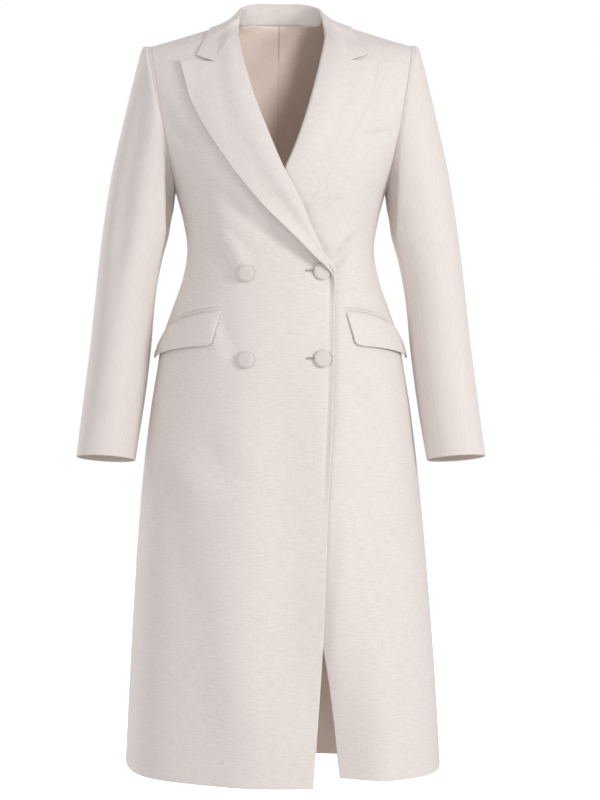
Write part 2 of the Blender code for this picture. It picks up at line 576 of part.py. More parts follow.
for across_word, button_x in BUTTON_COLUMNS_X.items():
    for row_word, button_z in BUTTON_ROWS_Z.items():
        add_button(f"button_{across_word}_{row_word}", button_x, button_z)
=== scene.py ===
"""The looks of a double-breasted wool coat, hollow and filled out as if worn.

Sizes are in millimetres, as a maker measures cloth, and become metres when a mesh is made. +X is the
left side of the coat as worn, -Y is its front and +Z is up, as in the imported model.
"""
from math import pi, radians

import bpy
import numpy as np
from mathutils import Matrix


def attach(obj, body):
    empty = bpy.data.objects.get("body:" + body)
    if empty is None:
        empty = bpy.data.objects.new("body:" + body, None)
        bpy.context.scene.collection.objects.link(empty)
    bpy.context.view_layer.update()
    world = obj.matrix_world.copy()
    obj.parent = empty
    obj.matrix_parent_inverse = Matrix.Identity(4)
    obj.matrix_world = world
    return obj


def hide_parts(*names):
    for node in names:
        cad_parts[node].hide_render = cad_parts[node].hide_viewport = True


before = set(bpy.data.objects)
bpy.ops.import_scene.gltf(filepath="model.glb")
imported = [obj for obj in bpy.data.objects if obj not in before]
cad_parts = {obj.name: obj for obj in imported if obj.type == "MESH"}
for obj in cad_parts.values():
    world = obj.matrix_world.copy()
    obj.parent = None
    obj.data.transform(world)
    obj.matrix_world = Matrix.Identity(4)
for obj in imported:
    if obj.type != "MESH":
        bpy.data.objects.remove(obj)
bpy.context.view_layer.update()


# The two backs are cut from plain-woven wool and joined down the middle by a seam that also shows
# inside the neck. They are fitted at the waist, flare to the hem, which is turned up, and are sewn
# to the fronts at the sides and shoulders.
MM = 0.001
RIGHT = -1  # sides of the coat, as signs of x
LEFT = 1
SIDES = (("right", RIGHT), ("left", LEFT))
FRONT = -1  # faces of the coat, as signs of y
BACK = 1
CLOTH = 2.4  # thickness of the wool
HEM_Z = -1121
SIDE_HEM_RISE = 13  # how much higher the hem is at the side seams
BACK_HEM_RISE = -1  # and at the centre back
NECK_X = 62  # the neck point, where shoulder seam and neckline meet
NECK_Y = 12
NECK_Z = 4
BACK_NECK_Y = 60  # the neckline at the centre back
BACK_NECK_Z = 2.4
BACK_NECK_SHARE = 0.36  # share of a back's top edge that is neckline
BACK_NECK_DIP = 8  # how the neckline sinks before it climbs to the neck point
BACK_NECK_SINK = 4  # powers of the share by which it sinks and climbs
BACK_NECK_CLIMB = 24
SHOULDER_X = 196  # outer end of the shoulder seam
SHOULDER_Z = -36
SHOULDER_NORMAL = (0.3, 0, 0.95)  # way out of the cloth along the shoulder seams
UNDERARM_X = 157
UNDERARM_Z = -258
ARMHOLE_Y = 4  # middle of the armhole's half ellipse
ARMHOLE_DEPTH = 62  # its reach to front and back
ARMHOLE_SCOOP = -1.5  # how far the front of it is hollowed, minus if filled
ROUNDNESS = 2.2  # powers of the body's sections, low down and at the shoulders
SHOULDER_ROUNDNESS = 1.3


def table(names, *rows):
    """A table of sizes: the values of each column by its name."""
    return dict(zip(names.split(), np.array(rows, float).T))


SIDE_LINE = table(
    "z half_width side_y",
    (HEM_Z, 236, 15),
    (-970, 228, 12),
    (-800, 216.5, 10),
    (-660, 204, 8),
    (-568, 192.5, 6),
    (-523, 185, 6),
    (-478, 177.5, 5),
    (-433, 162.5, 4),
    (-390, 147.5, ARMHOLE_Y),
    (-345, 140, ARMHOLE_Y),
    (-300, 146, ARMHOLE_Y),
    (UNDERARM_Z, UNDERARM_X, ARMHOLE_Y),
)
CENTRE_LINE = table(
    "z front_y back_y",
    (HEM_Z, -178, 158),
    (-970, -166, 150),
    (-800, -153, 141),
    (-660, -143, 133),
    (-568, -136, 127),
    (-478, -127, 117),
    (-410, -118, 103),
    (-345, -112, 93),
    (-300, -117, 95),
    (UNDERARM_Z, -126, 104),
    (-200, -128, 112),
    (-150, -118, 113),
    (-100, -97, 105),
    (-60, -70, 93),
    (-30, -42, 80),
    (BACK_NECK_Z, 8, BACK_NECK_Y),
    (NECK_Z, NECK_Y, 59.2),
)

# Soft rolls of the skirt. Columns: angle from the centre front towards the left side, depth, spread.
SKIRT_ROLLS = (
    (-64, 6, 13),
    (-36, -4, 13),
    (28, 5, 12),
    (50, -4, 12),
    (70, 5, 12),
    (112, 6, 12),
    (137, -5, 13),
    (163, 6, 12),
    (197, 6, 12),
    (223, -5, 13),
    (248, 6, 12),
)
ROLLS_TOP_Z = -540

# Creases of the backs. Columns: start x and z, end x and z, height, width, and bow of the line.
BACK_FOLDS = (
    (-148, -205, -70, -262, -2.2, 13, 8),
    (146, -212, 84, -250, -1.8, 11, -6),
    (-128, -300, -40, -338, 1.8, 15, 6),
    (124, -292, 36, -345, 2.2, 17, -9),
    (-118, -352, -30, -372, -1.9, 13, 5),
    (112, -362, 44, -376, -1.5, 11, -4),
    (-96, -92, -108, -190, 1.6, 20, 5),
    (92, -80, 112, -176, 1.9, 22, -6),
    (-66, -420, -104, -640, 2, 30, 10),
    (58, -432, 118, -700, 2.2, 34, -8),
)
FOLD_FADE = (-0.25, 0.3, 0.7, 1.25)  # shares of a crease's length where it begins, is full, wanes and ends
FOLD_CALM = 8  # power of the share of a panel's width by which creases fade towards its side
BACK_CALM_UP = (1.8, 2)  # and they fade towards the shoulder seam


def through(knots, values, at):
    """A smooth curve through a table's rows: Hermite spans with central-difference slopes."""
    slopes = np.gradient(values, knots)
    at = np.clip(at, knots[0], knots[-1])
    i = np.clip(np.searchsorted(knots, at) - 1, 0, len(knots) - 2)
    span = knots[i + 1] - knots[i]
    f = (at - knots[i]) / span
    start = (1 + 2 * f) * (1 - f) ** 2 * values[i] + f * (1 - f) ** 2 * span * slopes[i]
    return start + f ** 2 * (3 - 2 * f) * values[i + 1] + f ** 2 * (f - 1) * span * slopes[i + 1]


def column(sizes, name, at, by="z"):
    """A table's column at heights `at`, or at row numbers when `by` is None."""
    values = sizes[name]
    return through(sizes[by] if by else np.arange(len(values)), values, at)


def ease(low, high, at):
    """0 below `low`, 1 above `high`, and a smooth step between."""
    f = np.clip((at - low) / (high - low), 0, 1)
    return f * f * (3 - 2 * f)


def between(begin, full, waning, end, at):
    """0 outside `begin` and `end`, 1 from `full` to `waning`, and smooth steps between."""
    return ease(begin, full, at) * (1 - ease(waning, end, at))


def side_of_body(z, face):
    """Distance from the middle and y of the panel's outer boundary at height z: the side seam,
    then the armhole's half ellipse, then the straight shoulder seam."""
    half = (SHOULDER_Z - UNDERARM_Z) / 2
    rise = np.clip((z - UNDERARM_Z - half) / half, -1, 1)
    round_share = np.sqrt(1 - rise ** 2)
    scoop = ARMHOLE_SCOOP * round_share ** 2 * (face == FRONT)
    armhole_x = (SHOULDER_X + UNDERARM_X) / 2 + rise * (SHOULDER_X - UNDERARM_X) / 2 - scoop
    armhole_y = ARMHOLE_Y + face * ARMHOLE_DEPTH * round_share
    up = np.clip((z - SHOULDER_Z) / (NECK_Z - SHOULDER_Z), 0, 1)
    shoulder_x = SHOULDER_X + up * (NECK_X - SHOULDER_X)
    shoulder_y = ARMHOLE_Y + up * (NECK_Y - ARMHOLE_Y)
    zones = [z < UNDERARM_Z, z < SHOULDER_Z]
    x = np.select(zones, [column(SIDE_LINE, "half_width", z), armhole_x], shoulder_x)
    y = np.select(zones, [column(SIDE_LINE, "side_y", z), armhole_y], shoulder_y)
    return x, y


def depth_of_body(x, z, face):
    """y of the body's skin: from the sides' y to the centre line's, as a superellipse in x that goes on
    past the armhole, so far that it passes through the armhole's edge."""
    edge_x, edge_y = side_of_body(z, face)
    base_y = np.where((z > UNDERARM_Z) & (z < SHOULDER_Z), ARMHOLE_Y, edge_y)
    centre_y = column(CENTRE_LINE, "front_y" if face == FRONT else "back_y", z)
    power = ROUNDNESS + (SHOULDER_ROUNDNESS - ROUNDNESS) * ease(UNDERARM_Z, SHOULDER_Z, z)
    edge_share = np.minimum(np.abs(edge_y - base_y) / np.maximum(np.abs(centre_y - base_y), 1e-6), 0.98)
    reach = edge_x / (1 - edge_share ** power) ** (1 / ROUNDNESS)
    share = np.clip(1 - np.abs(x / reach) ** ROUNDNESS, 0, 1) ** (1 / power)
    return base_y + (centre_y - base_y) * share


def neckline_z(share):
    """Height of the back neckline, from the centre back, share 0, to the neck point, 1."""
    climb = NECK_Z - BACK_NECK_Z + BACK_NECK_DIP
    return BACK_NECK_Z - BACK_NECK_DIP * share ** BACK_NECK_SINK + climb * share ** BACK_NECK_CLIMB


def panel_places(face, edge, hem_rise, across, up, sag=0):
    """Distance from the middle and height of a panel's points. A row at up 0 to 1 lies between hem
    and underarm, and at up 1 to 2 between underarm and shoulder seam. Along a row, across runs from
    the panel's own edge, 0, to its side seam or armhole, 1, in even turns round the section, which
    straighten out towards the shoulder. The hem sags by `sag` between its ends."""
    neck_share = BACK_NECK_SHARE if face == BACK else 0
    hem = HEM_Z + hem_rise + (SIDE_HEM_RISE - hem_rise) * across ** 2 - 4 * sag * across * (1 - across)
    below = hem + np.clip(up, 0, 1) * (UNDERARM_Z - hem)
    lean = np.clip(up - 1, 0, 1)
    rise = (1 - np.cos(pi * lean)) / 2
    shoulder = np.clip((across - neck_share) / (1 - neck_share), 0, 1)
    neck = np.clip(across / neck_share, 0, 1) if face == BACK else np.ones_like(across)
    top_x = NECK_X * neck + (SHOULDER_X - NECK_X) * shoulder
    top_z = neckline_z(neck) + (SHOULDER_Z - NECK_Z) * shoulder
    z = below + rise * (top_z - UNDERARM_Z)
    start = edge(below + rise * ((NECK_Z if face == FRONT else BACK_NECK_Z) - UNDERARM_Z))
    end = side_of_body(below + rise * (SHOULDER_Z - UNDERARM_Z), face)[0]
    first = np.sign(start) * np.arcsin(np.clip(np.abs(start / end), 0, 1) ** (ROUNDNESS / 2))
    turn = first + (pi / 2 - first) * across
    round_x = end * np.sign(np.sin(turn)) * np.abs(np.sin(turn)) ** (2 / ROUNDNESS)
    top_start = NECK_X if face == FRONT else 0
    straight_x = start + (end - start) * (top_x - top_start) / (SHOULDER_X - top_start)
    return (1 - lean) * round_x + lean * straight_x, z


def skirt_rolls(points):
    """Move points away from the coat's axis by the soft rolls, which grow towards the hem."""
    angle = np.degrees(np.arctan2(points[..., 0], -points[..., 1]))
    grow = 1 - ease(HEM_Z, ROLLS_TOP_Z, points[..., 2])
    out = np.zeros_like(angle)
    for roll_angle, depth, spread in SKIRT_ROLLS:
        turn = (angle - roll_angle + 180) % 360 - 180
        out += depth * np.exp(-(turn / spread) ** 2)
    scale = 1 + grow * out / np.hypot(points[..., 0], points[..., 1])
    return points * np.stack([scale, scale, np.ones_like(scale)], -1)


def soft_folds(folds, x, z):
    """Height of the creases at x and z. Each row is a ridge, or a trough where its height is negative:
    a bell-shaped section carried along a line, which is bowed and fades out towards both ends."""
    total = np.zeros_like(x)
    for start_x, start_z, end_x, end_z, height, width, bow in folds:
        run_x = end_x - start_x
        run_z = end_z - start_z
        length = np.hypot(run_x, run_z)
        along = ((x - start_x) * run_x + (z - start_z) * run_z) / length ** 2
        off = ((x - start_x) * run_z - (z - start_z) * run_x) / length - 4 * bow * along * (1 - along)
        total += height * np.exp(-(off / width) ** 2) * between(*FOLD_FADE, along)
    return total


def pressed_waves(across, up):
    """Slow waves that even pressed wool keeps, under a millimetre high: three crossing sines, each with
    its height in millimetres, and its lengths as millimetres for a radian."""
    return (0.30 * np.sin(across / 31 + 0.7 * np.sin(up / 57)) * np.sin(up / 83 + 1.3)
            + 0.22 * np.sin(across / 17 - up / 46 + 2.1)
            + 0.16 * np.sin(up / 24 + across / 39 + 0.4))


END_CLOSENESS = 0.85  # 0 for even steps, 1 for steps that shrink to nothing at the ends


def close_at_ends(count):
    """Numbers from 0 to 1 whose steps get shorter towards both ends, where edges and seams need it:
    a straight line less part of a full sine."""
    even = np.linspace(0, 1, count)
    return even - END_CLOSENESS * np.sin(2 * pi * even) / (2 * pi)


def unit(vectors):
    """Vectors of length one."""
    return vectors / np.maximum(np.linalg.norm(vectors, axis=-1, keepdims=True), 1e-9)


def run_lengths(grid):
    """Distance along each row and up each column of a grid, from its first column and first row."""
    across = np.linalg.norm(np.diff(grid, axis=1), axis=-1)
    up = np.linalg.norm(np.diff(grid, axis=0), axis=-1)
    return (np.pad(np.cumsum(across, axis=1), ((0, 0), (1, 0))),
            np.pad(np.cumsum(up, axis=0), ((1, 0), (0, 0))))


def way_out(grid, inside):
    """Unit normals of a grid, across its rows and columns, pointing away from the points inside."""
    normal = unit(np.cross(np.gradient(grid, axis=1), np.gradient(grid, axis=0)))
    return normal * np.sign(np.sum(normal * (grid - inside)))


def new_object(name, points, faces, threads=None):
    """An object at the origin from points in millimetres and faces. Threads are the points' coordinates
    along the weave, which become a UV map, and such a piece is shaded smooth."""
    mesh = bpy.data.meshes.new(name)
    mesh.from_pydata((points * MM).tolist(), [], faces)
    if threads is not None:
        corners = np.zeros(len(mesh.loops), dtype=int)
        mesh.loops.foreach_get("vertex_index", corners)
        layer = mesh.uv_layers.new(name="threads")
        layer.data.foreach_set("uv", (threads[corners] * MM).ravel())
        mesh.shade_smooth()
    made = bpy.data.objects.new(name, mesh)
    bpy.context.scene.collection.objects.link(made)
    return made


SEAM_DIP = 0.9  # how the cloth sinks towards a seam
SEAM_DIP_WIDTH = 2
INNER_DIP = 0.8  # share of that by which its inner face rises there
RIM_TURNS = np.radians((30, 60, 90, 120, 150))
SHARP_TURN = radians(60)
RIGHT_DROP = 3.5  # the right shoulder hangs lower than the left one
RIGHT_DROP_X = (50, 115)
RIGHT_DROP_Z = (-280, -70)
SKIRT_SWAY = 3.5  # the skirt hangs a little to the left
SKIRT_SWAY_Z = (HEM_Z, -600)


def cloth_piece(name, outer, normal, sewn, thickness=CLOTH, threads=None, inner_dip=INNER_DIP):
    """A closed wall of cloth on a grid. The inner face is the outer one moved in by the thickness, both
    sink a little towards sewn edges, and a rim joins the two: half a circle round a free edge, flat
    along a sewn one. `sewn` gives 1 or 0, or a row of them, for the first row, the last column, the
    last row and the first column. Threads are the weave's coordinates. The inner face is material 1."""
    rows, columns = outer.shape[:2]
    thickness = np.broadcast_to(thickness, (rows, columns))
    across, up = run_lengths(outer)
    first_row, last_column, last_row, first_column = (
        np.broadcast_to(edge, columns if k % 2 == 0 else rows) for k, edge in enumerate(sewn))
    dip = np.zeros((rows, columns))
    for weight, distance in ((first_row[None, :], up), (last_row[None, :], up[-1:] - up),
                             (first_column[:, None], across),
                             (last_column[:, None], across[:, -1:] - across)):
        dip += weight * SEAM_DIP * np.exp(-(distance / SEAM_DIP_WIDTH) ** 2)
    dip = np.minimum(dip, SEAM_DIP)[..., None] * normal
    inner = outer - thickness[..., None] * normal + inner_dip * dip
    outer = outer - dip

    index = np.arange(rows * columns).reshape(rows, columns)
    loop = np.concatenate([index[0, :-1], index[:-1, -1], index[-1, :0:-1], index[:0:-1, 0]])
    free = 1 - np.concatenate([first_row[:-1], last_column[:-1], last_row[:0:-1], first_column[:0:-1]])
    flat_outer = outer.reshape(-1, 3)
    flat_inner = inner.reshape(-1, 3)
    edge = flat_outer[loop]
    hand = np.sign(np.sum(np.cross(np.gradient(outer, axis=1), np.gradient(outer, axis=0)) * normal))
    ahead = np.roll(edge, -1, axis=0) - np.roll(edge, 1, axis=0)
    away = unit(hand * np.cross(ahead, normal.reshape(-1, 3)[loop]))
    rim = [edge + (flat_inner[loop] - edge) * (1 - np.cos(turn)) / 2
           + away * (thickness.ravel()[loop] / 2 * np.sin(turn) * free)[:, None] for turn in RIM_TURNS]
    points = np.concatenate([flat_outer, flat_inner] + rim)
    points[:, 2] -= RIGHT_DROP * ease(*RIGHT_DROP_X, -points[:, 0]) * ease(*RIGHT_DROP_Z, points[:, 2])
    points[:, 0] += SKIRT_SWAY * (1 - ease(*SKIRT_SWAY_Z, points[:, 2]))

    count = rows * columns
    size = len(loop)
    rings = [loop] + [2 * count + k * size + np.arange(size) for k in range(len(rim))] + [loop + count]
    cells = np.stack([index[:-1, :-1], index[:-1, 1:], index[1:, 1:], index[1:, :-1]], -1).reshape(-1, 4)
    strips = [np.stack([a, b, np.roll(b, -1), np.roll(a, -1)], -1) for a, b in zip(rings, rings[1:])]
    faces = np.concatenate([cells, cells[:, ::-1] + count] + strips)
    if hand < 0:
        faces = faces[:, ::-1]

    if threads is None:
        threads = np.stack([across, up], -1)
    threads = threads.reshape(-1, 2)
    threads = np.concatenate([threads, threads] + [threads[loop]] * len(rim))
    made = new_object(name, points, faces.tolist(), threads)
    face_sides = np.repeat((0, 1, 0), (len(cells), len(cells), len(faces) - 2 * len(cells)))
    made.data.polygons.foreach_set("material_index", face_sides)
    made.data.set_sharp_from_angle(angle=SHARP_TURN)
    return made


def shader_node(tree, kind, output, inputs, **settings):
    """The named output of a new node, whose sockets are set to values or joined to other outputs."""
    made = tree.nodes.new(kind)
    for name, value in settings.items():
        setattr(made, name, value)
    for socket, value in inputs.items():
        if isinstance(value, bpy.types.NodeSocket):
            tree.links.new(value, made.inputs[socket])
        else:
            made.inputs[socket].default_value = value
    return made.outputs[output]


def thread_material(name):
    """A new material, its nodes, its shader and the thread coordinates of the piece that wears it."""
    material = bpy.data.materials.new(name)
    material.use_nodes = True
    tree = material.node_tree
    place = shader_node(tree, "ShaderNodeUVMap", "UV", {}, uv_map="threads")
    return material, tree, tree.nodes["Principled BSDF"], place


def bands_scale(pitch):
    """Scale at which a wave texture, which turns by 20 radians a metre, repeats at a pitch in
    millimetres: a full turn over 20 times the pitch."""
    return 2 * pi / (20 * pitch * MM)


def colour_and_relief(tree, shader, colour, relief, strength, height):
    """Join a colour to a shader, and a relief as bumps of a height in millimetres."""
    tree.links.new(colour, shader.inputs["Base Color"])
    bump = shader_node(tree, "ShaderNodeBump", "Normal",
                       {"Height": relief, "Strength": strength, "Distance": height * MM})
    tree.links.new(bump, shader.inputs["Normal"])


WOOL_PALE = (0.80, 0.735, 0.705, 1)
WOOL_DARK = (0.70, 0.635, 0.605, 1)
INSIDE_PALE = (0.86, 0.735, 0.655, 1)
INSIDE_DARK = (0.78, 0.65, 0.57, 1)
# painted shade of the centre back seam's valley, in the inside's colour
INSIDE_SEAM_SHADE = (0.50, 0.40, 0.33, 1)
SEAM_SHADE = 1  # half the width of the seam's shade
SEAM_FADE = (-48, -28)  # the seam is pressed flat below these heights along the cloth, so its painted shade fades there
SEAM_FAINT = 0.3  # and this much of it still shows there
THREAD = 0.9  # from one thread of the weave to the next
SLUB_LENGTH = 15  # thick places of the yarn
SLUB_WIDTH = 1.7
SLUB_UPRIGHT = 0.36  # share of them that run up the cloth
SLUB_RANGE = (0.32, 0.68)  # noise that is quite dark, and quite pale
SLUB_RELIEF = 2.2  # how high they stand, against the weave


def wool(name, pale, dark, seam=None):
    """Plain-woven wool in the cloth's own thread coordinates: two sets of waves for the threads, and
    noise drawn out along each set for the thick places of the yarn, in colour and in relief. A seam's
    colour paints the shade of the seam's valley onto the cloth where its first thread coordinate is nearly
    0."""
    material, tree, shader, place = thread_material(name)
    waves = [shader_node(tree, "ShaderNodeTexWave", "Fac",
                         {"Vector": place, "Scale": bands_scale(THREAD), "Distortion": 1.2, "Detail": 1,
                          "Detail Scale": 0.4}, wave_type="BANDS", bands_direction=way) for way in "XY"]
    slubs = []
    for size_x, size_y in ((SLUB_LENGTH, SLUB_WIDTH), (SLUB_WIDTH, SLUB_LENGTH)):
        drawn = shader_node(tree, "ShaderNodeMapping", "Vector",
                            {"Vector": place, "Scale": (1 / (size_x * MM), 1 / (size_y * MM), 1)})
        slubs.append(shader_node(tree, "ShaderNodeTexNoise", "Fac",
                                 {"Vector": drawn, "Scale": 1, "Detail": 2, "Roughness": 0.55}))
    slub = shader_node(tree, "ShaderNodeMix", "Result",
                       {"Factor": SLUB_UPRIGHT, "A": slubs[0], "B": slubs[1]})
    weave = shader_node(tree, "ShaderNodeMath", "Value", {0: waves[0], 1: waves[1]}, operation="MULTIPLY")
    colour = shader_node(tree, "ShaderNodeValToRGB", "Color", {"Fac": slub})
    for stop, position, shade in zip(colour.node.color_ramp.elements, SLUB_RANGE, (dark, pale)):
        stop.position = position
        stop.color = shade
    if seam is not None:
        apart = shader_node(tree, "ShaderNodeSeparateXYZ", "X", {"Vector": place})
        off = shader_node(tree, "ShaderNodeMath", "Value", {0: apart}, operation="ABSOLUTE")
        near = shader_node(tree, "ShaderNodeMapRange", "Result",
                           {"Value": off, "From Min": SEAM_SHADE / 2 * MM, "From Max": SEAM_SHADE * MM,
                            "To Min": 1, "To Max": 0})
        shown = shader_node(tree, "ShaderNodeMapRange", "Result",
                            {"Value": apart.node.outputs["Y"], "From Min": SEAM_FADE[0] * MM,
                             "From Max": SEAM_FADE[1] * MM, "To Min": SEAM_FAINT, "To Max": 1})
        share = shader_node(tree, "ShaderNodeMath", "Value", {0: near, 1: shown}, operation="MULTIPLY")
        colour = shader_node(tree, "ShaderNodeMix", "Result", {"Factor": share, "A": colour, "B": seam},
                             data_type="RGBA")
    relief = shader_node(tree, "ShaderNodeMath", "Value", {0: slub, 1: SLUB_RELIEF, 2: weave},
                         operation="MULTIPLY_ADD")
    colour_and_relief(tree, shader, colour, relief, 0.35, 0.4)
    shader.inputs["Roughness"].default_value = 0.92
    shader.inputs["Specular IOR Level"].default_value = 0.25
    shader.inputs["Sheen Weight"].default_value = 0.12
    shader.inputs["Sheen Roughness"].default_value = 0.5
    return material


WOOL = wool("ivory_wool", WOOL_PALE, WOOL_DARK)
INSIDE = wool("beige_inside", INSIDE_PALE, INSIDE_DARK)
# the backs' inside carries the painted shade of the centre back seam's valley
INSIDE_BACK = wool("beige_inside_back", INSIDE_PALE, INSIDE_DARK, INSIDE_SEAM_SHADE)


def dress(piece, nodes, inside=WOOL):
    """Give a cloth piece its wool and its place in the coat. It was cut to its own lengths along the
    threads, because woven wool doesn't stretch."""
    piece.data.materials.append(WOOL)
    piece.data.materials.append(inside)
    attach(piece, "root")
    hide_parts(*nodes)


PANEL_UP = np.concatenate([close_at_ends(120), 1 + np.arccos(1 - 2 * np.linspace(0, 1, 116)[1:]) / pi])
BACK_ACROSS = close_at_ends(84)
BACK_INNER_DIP = 0.3  # the backs' seams show a valley inside


def sew_panel(node, outer, side, face, sewn, inside, inner_dip=INNER_DIP):
    """A panel of the body. Its normals point away from the coat's axis, and lie in the seam's plane at
    its side, shoulder and centre back seams. Its thread coordinates are those of a cloth whose own edge
    lies at its real x, and whose hem at its real z."""
    normal = way_out(outer, outer * (0, 0, 1))
    normal[PANEL_UP <= 1, -1, 1] = 0
    on_shoulder = BACK_ACROSS > BACK_NECK_SHARE if face == BACK else slice(None)
    normal[-1, on_shoulder] = np.multiply(SHOULDER_NORMAL, (side, 1, 1))
    if face == BACK:
        normal[:, 0, 0] = 0
    across, up = run_lengths(outer)
    threads = np.stack([outer[:, :1, 0] + side * across, outer[:1, :, 2] + up], -1)
    piece = cloth_piece("wool_" + node, outer, unit(normal), sewn, threads=threads, inner_dip=inner_dip)
    dress(piece, [node], inside=inside)
    return piece


back_pieces = []
for word, side in SIDES:
    across, up = np.meshgrid(BACK_ACROSS, PANEL_UP)
    x, z = panel_places(BACK, np.zeros_like, BACK_HEM_RISE, across, up)
    calm = (1 - across ** FOLD_CALM) * (1 - ease(*BACK_CALM_UP, up))
    lift = (soft_folds(BACK_FOLDS, side * x, z) + pressed_waves(side * x, z)) * calm
    outer = skirt_rolls(np.stack([side * x, depth_of_body(x, z, BACK) + lift, z], -1))
    back_pieces.append(
        sew_panel("back_" + word, outer, side, BACK, (0, 1, 1, 1), INSIDE_BACK, BACK_INNER_DIP))


# The two fronts, of the same wool, lap over each other: the right one is worn on top. Each is cut in
# one with its facing, turns back at the roll line above the upper buttons, and hangs free below.
FRONT_EDGE = table(
    "z right_x left_x",
    (HEM_Z, 35, 77),
    (-914, 51, 51),
    (-760, 59.5, 15),
    (-568, 69, -35),
    (-430, 72, -62),
    (-384, 71.5, -66),
    (-366, 64, -64),
    (-324, 46, -46),
    (-278, 26, -24),
    (-232, 0.5, 0.5),
    (-178, -22, 22.5),
    (-113, -44.5, 42.5),
    (-66, -56, 54),
    (-24, -61.5, 61.5),
    (NECK_Z, -NECK_X, NECK_X),
)
FRONT_HEM_RISE = {RIGHT: 0, LEFT: 6}  # how much higher the hem is at each front's edge
FRONT_HEM_SAG = {RIGHT: 0, LEFT: 4.5}  # and how far it sags between its ends
OVERLAP = 8.5  # how far the right front stands off the left one it covers
OVERLAP_X = (-170, -40)  # it rises to that between these distances from the middle
OVERLAP_Z = (-235, -150)  # and sinks back between these heights
LEFT_SWING = 50  # how far the left front's lower edge falls back at the hem
LEFT_SWING_X = (60, 165)
LEFT_SWING_Z = (HEM_Z, -820)
EDGE_DROOP = 2.5  # the right front's edge droops onto the left one, low down
EDGE_DROOP_WIDTH = 34
EDGE_DROOP_Z = (-860, -780, -640, -560)  # where that begins, is full, wanes and ends
EDGE_CURL = 3.8  # below the break it turns up
EDGE_CURL_Z = (-428, -396, -392, -372)
EDGE_LIP = 2.6  # and a little lower down too
EDGE_LIP_Z = (-760, -640, -392, -372)
EDGE_CURL_WIDTH = 3.2
EDGE_GROOVE = 0.5  # depth of the groove behind the turned-up edge, as a share of its height
EDGE_GROOVE_AT = 1.9  # and its distance from the edge, in such widths
ROLL_TUCK = 7  # the fronts end inside the lapels' fold above the break
BREAK_Z = (-386, -352)
FRONT_CALM_Z = (-60, -20)  # creases fade out here
FRONT_WAVES_AT = 40  # so that the fronts' waves aren't the backs'
SLOPE_STEP = 0.5
ARMHOLE_DIP = {RIGHT: 0.9, LEFT: 0.3}  # how deep the armhole seams lie, as shares of other seams

# Creases of the fronts, with the same columns as the backs'.
FRONT_FOLDS = {
    RIGHT: (
        (-89, -272, -2, -342, -6, 13, 4),
        (-97, -320, -56, -383, 5.5, 12, -3),
        (-116, -348, -78, -388, -4, 12, 3),
        (-116, -240, -108, -340, -2.2, 14, 3),
        (-176, -146, -132, -200, -8.5, 10, 4),
        (-128, -90, -116, -170, -1.2, 16, 4),
        (-92, -444, -64, -508, -3, 10, 4),
        (-105, -460, -90, -512, 1.6, 12, 3),
        (-192, -616, -118, -712, 5.5, 20, 6),
        (-124, -618, -52, -702, -3.5, 22, 5),
        (-176, -634, -137, -873, -4, 24, 6),
        (4, -560, 8, -1000, -10, 46, 0),
        (-30, -318, 44, -376, -4.5, 11, 0),
        (-100, -771, -72, -1032, 4, 36, 8),
    ),
    LEFT: (
        (-50, -300, 30, -366, -9, 22, 0),
        (0, -540, 4, -900, -8, 36, 0),
        (77, -390, 76, -540, 3.5, 13, 0),
        (70, -370, 104, -330, -9, 6, 2),
        (64, -356, 98, -320, 4.5, 7, 2),
        (46, -304, 78, -276, -3, 7, 2),
        (138, -84, 122, -168, -3.2, 9, -4),
        (118, -184, 168, -173, -4.2, 4, -2),
        (120, -174, 166, -163, 2.2, 6, -2),
        (66, -760, 56, -920, -4.5, 12, 0),
        (82, -528, 163, -670, -3.5, 16, -6),
        (110, -520, 176, -640, 2, 20, -6),
        (150, -600, 170, -760, 1.5, 24, -6),
        (110, -760, 128, -980, 1.8, 28, -8),
    ),
}


def front_edge(side, z):
    """x of a front's edge and roll line at height z."""
    return column(FRONT_EDGE, "right_x" if side == RIGHT else "left_x", z)


def tucked_edge(side, z):
    """Distance of a front's edge from the middle, drawn in under the lapel above the break."""
    return side * front_edge(side, z) + ROLL_TUCK * ease(*BREAK_Z, z)


def front_depth(side, x, z, curled):
    """y of a front's outer face at x and z: the body's, less the creases. The left front's lower edge
    falls back. The right front stands off the left one where it covers it, and its edge droops low
    down and, if it is curled, turns up in front of a groove."""
    calm = 1 - np.clip(np.abs(x / side_of_body(z, FRONT)[0]), 0, 1) ** FOLD_CALM
    creases = soft_folds(FRONT_FOLDS[side], x, z) + pressed_waves(x + FRONT_WAVES_AT, z)
    y = depth_of_body(x, z, FRONT) - calm * (1 - ease(*FRONT_CALM_Z, z)) * creases
    if side == LEFT:
        return y + LEFT_SWING * (1 - ease(*LEFT_SWING_X, x)) * (1 - ease(*LEFT_SWING_Z, z))
    inset = front_edge(RIGHT, z) - x
    droop = np.exp(-(np.clip(inset, 0, None) / EDGE_DROOP_WIDTH) ** 2) * between(*EDGE_DROOP_Z, z)
    inset = inset / EDGE_CURL_WIDTH
    curl = np.exp(-np.clip(inset, 0, None)) - EDGE_GROOVE * np.exp(-(inset - EDGE_GROOVE_AT) ** 2)
    rise = EDGE_CURL * between(*EDGE_CURL_Z, z) + EDGE_LIP * between(*EDGE_LIP_Z, z)
    stand = OVERLAP * ease(*OVERLAP_X, x) * (1 - ease(*OVERLAP_Z, z))
    return y + EDGE_DROOP * droop - curled * rise * curl - stand


def front_skin(side, x, z, height=0, curled=True):
    """Points of a front's outer face at x and z, moved out by `height` along its normals, and those
    normals, from the slopes of its depth."""
    def slope(step_x, step_z):
        """Change of depth for a millimetre: between a step ahead and a step back, over both steps."""
        ahead = front_depth(side, x + step_x, z + step_z, curled)
        return (ahead - front_depth(side, x - step_x, z - step_z, curled)) / (2 * SLOPE_STEP)

    y = front_depth(side, x, z, curled)
    out = unit(np.stack([slope(SLOPE_STEP, 0), -np.ones_like(y), slope(0, SLOPE_STEP)], -1))
    return np.stack([x, y, z], -1) + np.expand_dims(height, -1) * out, out


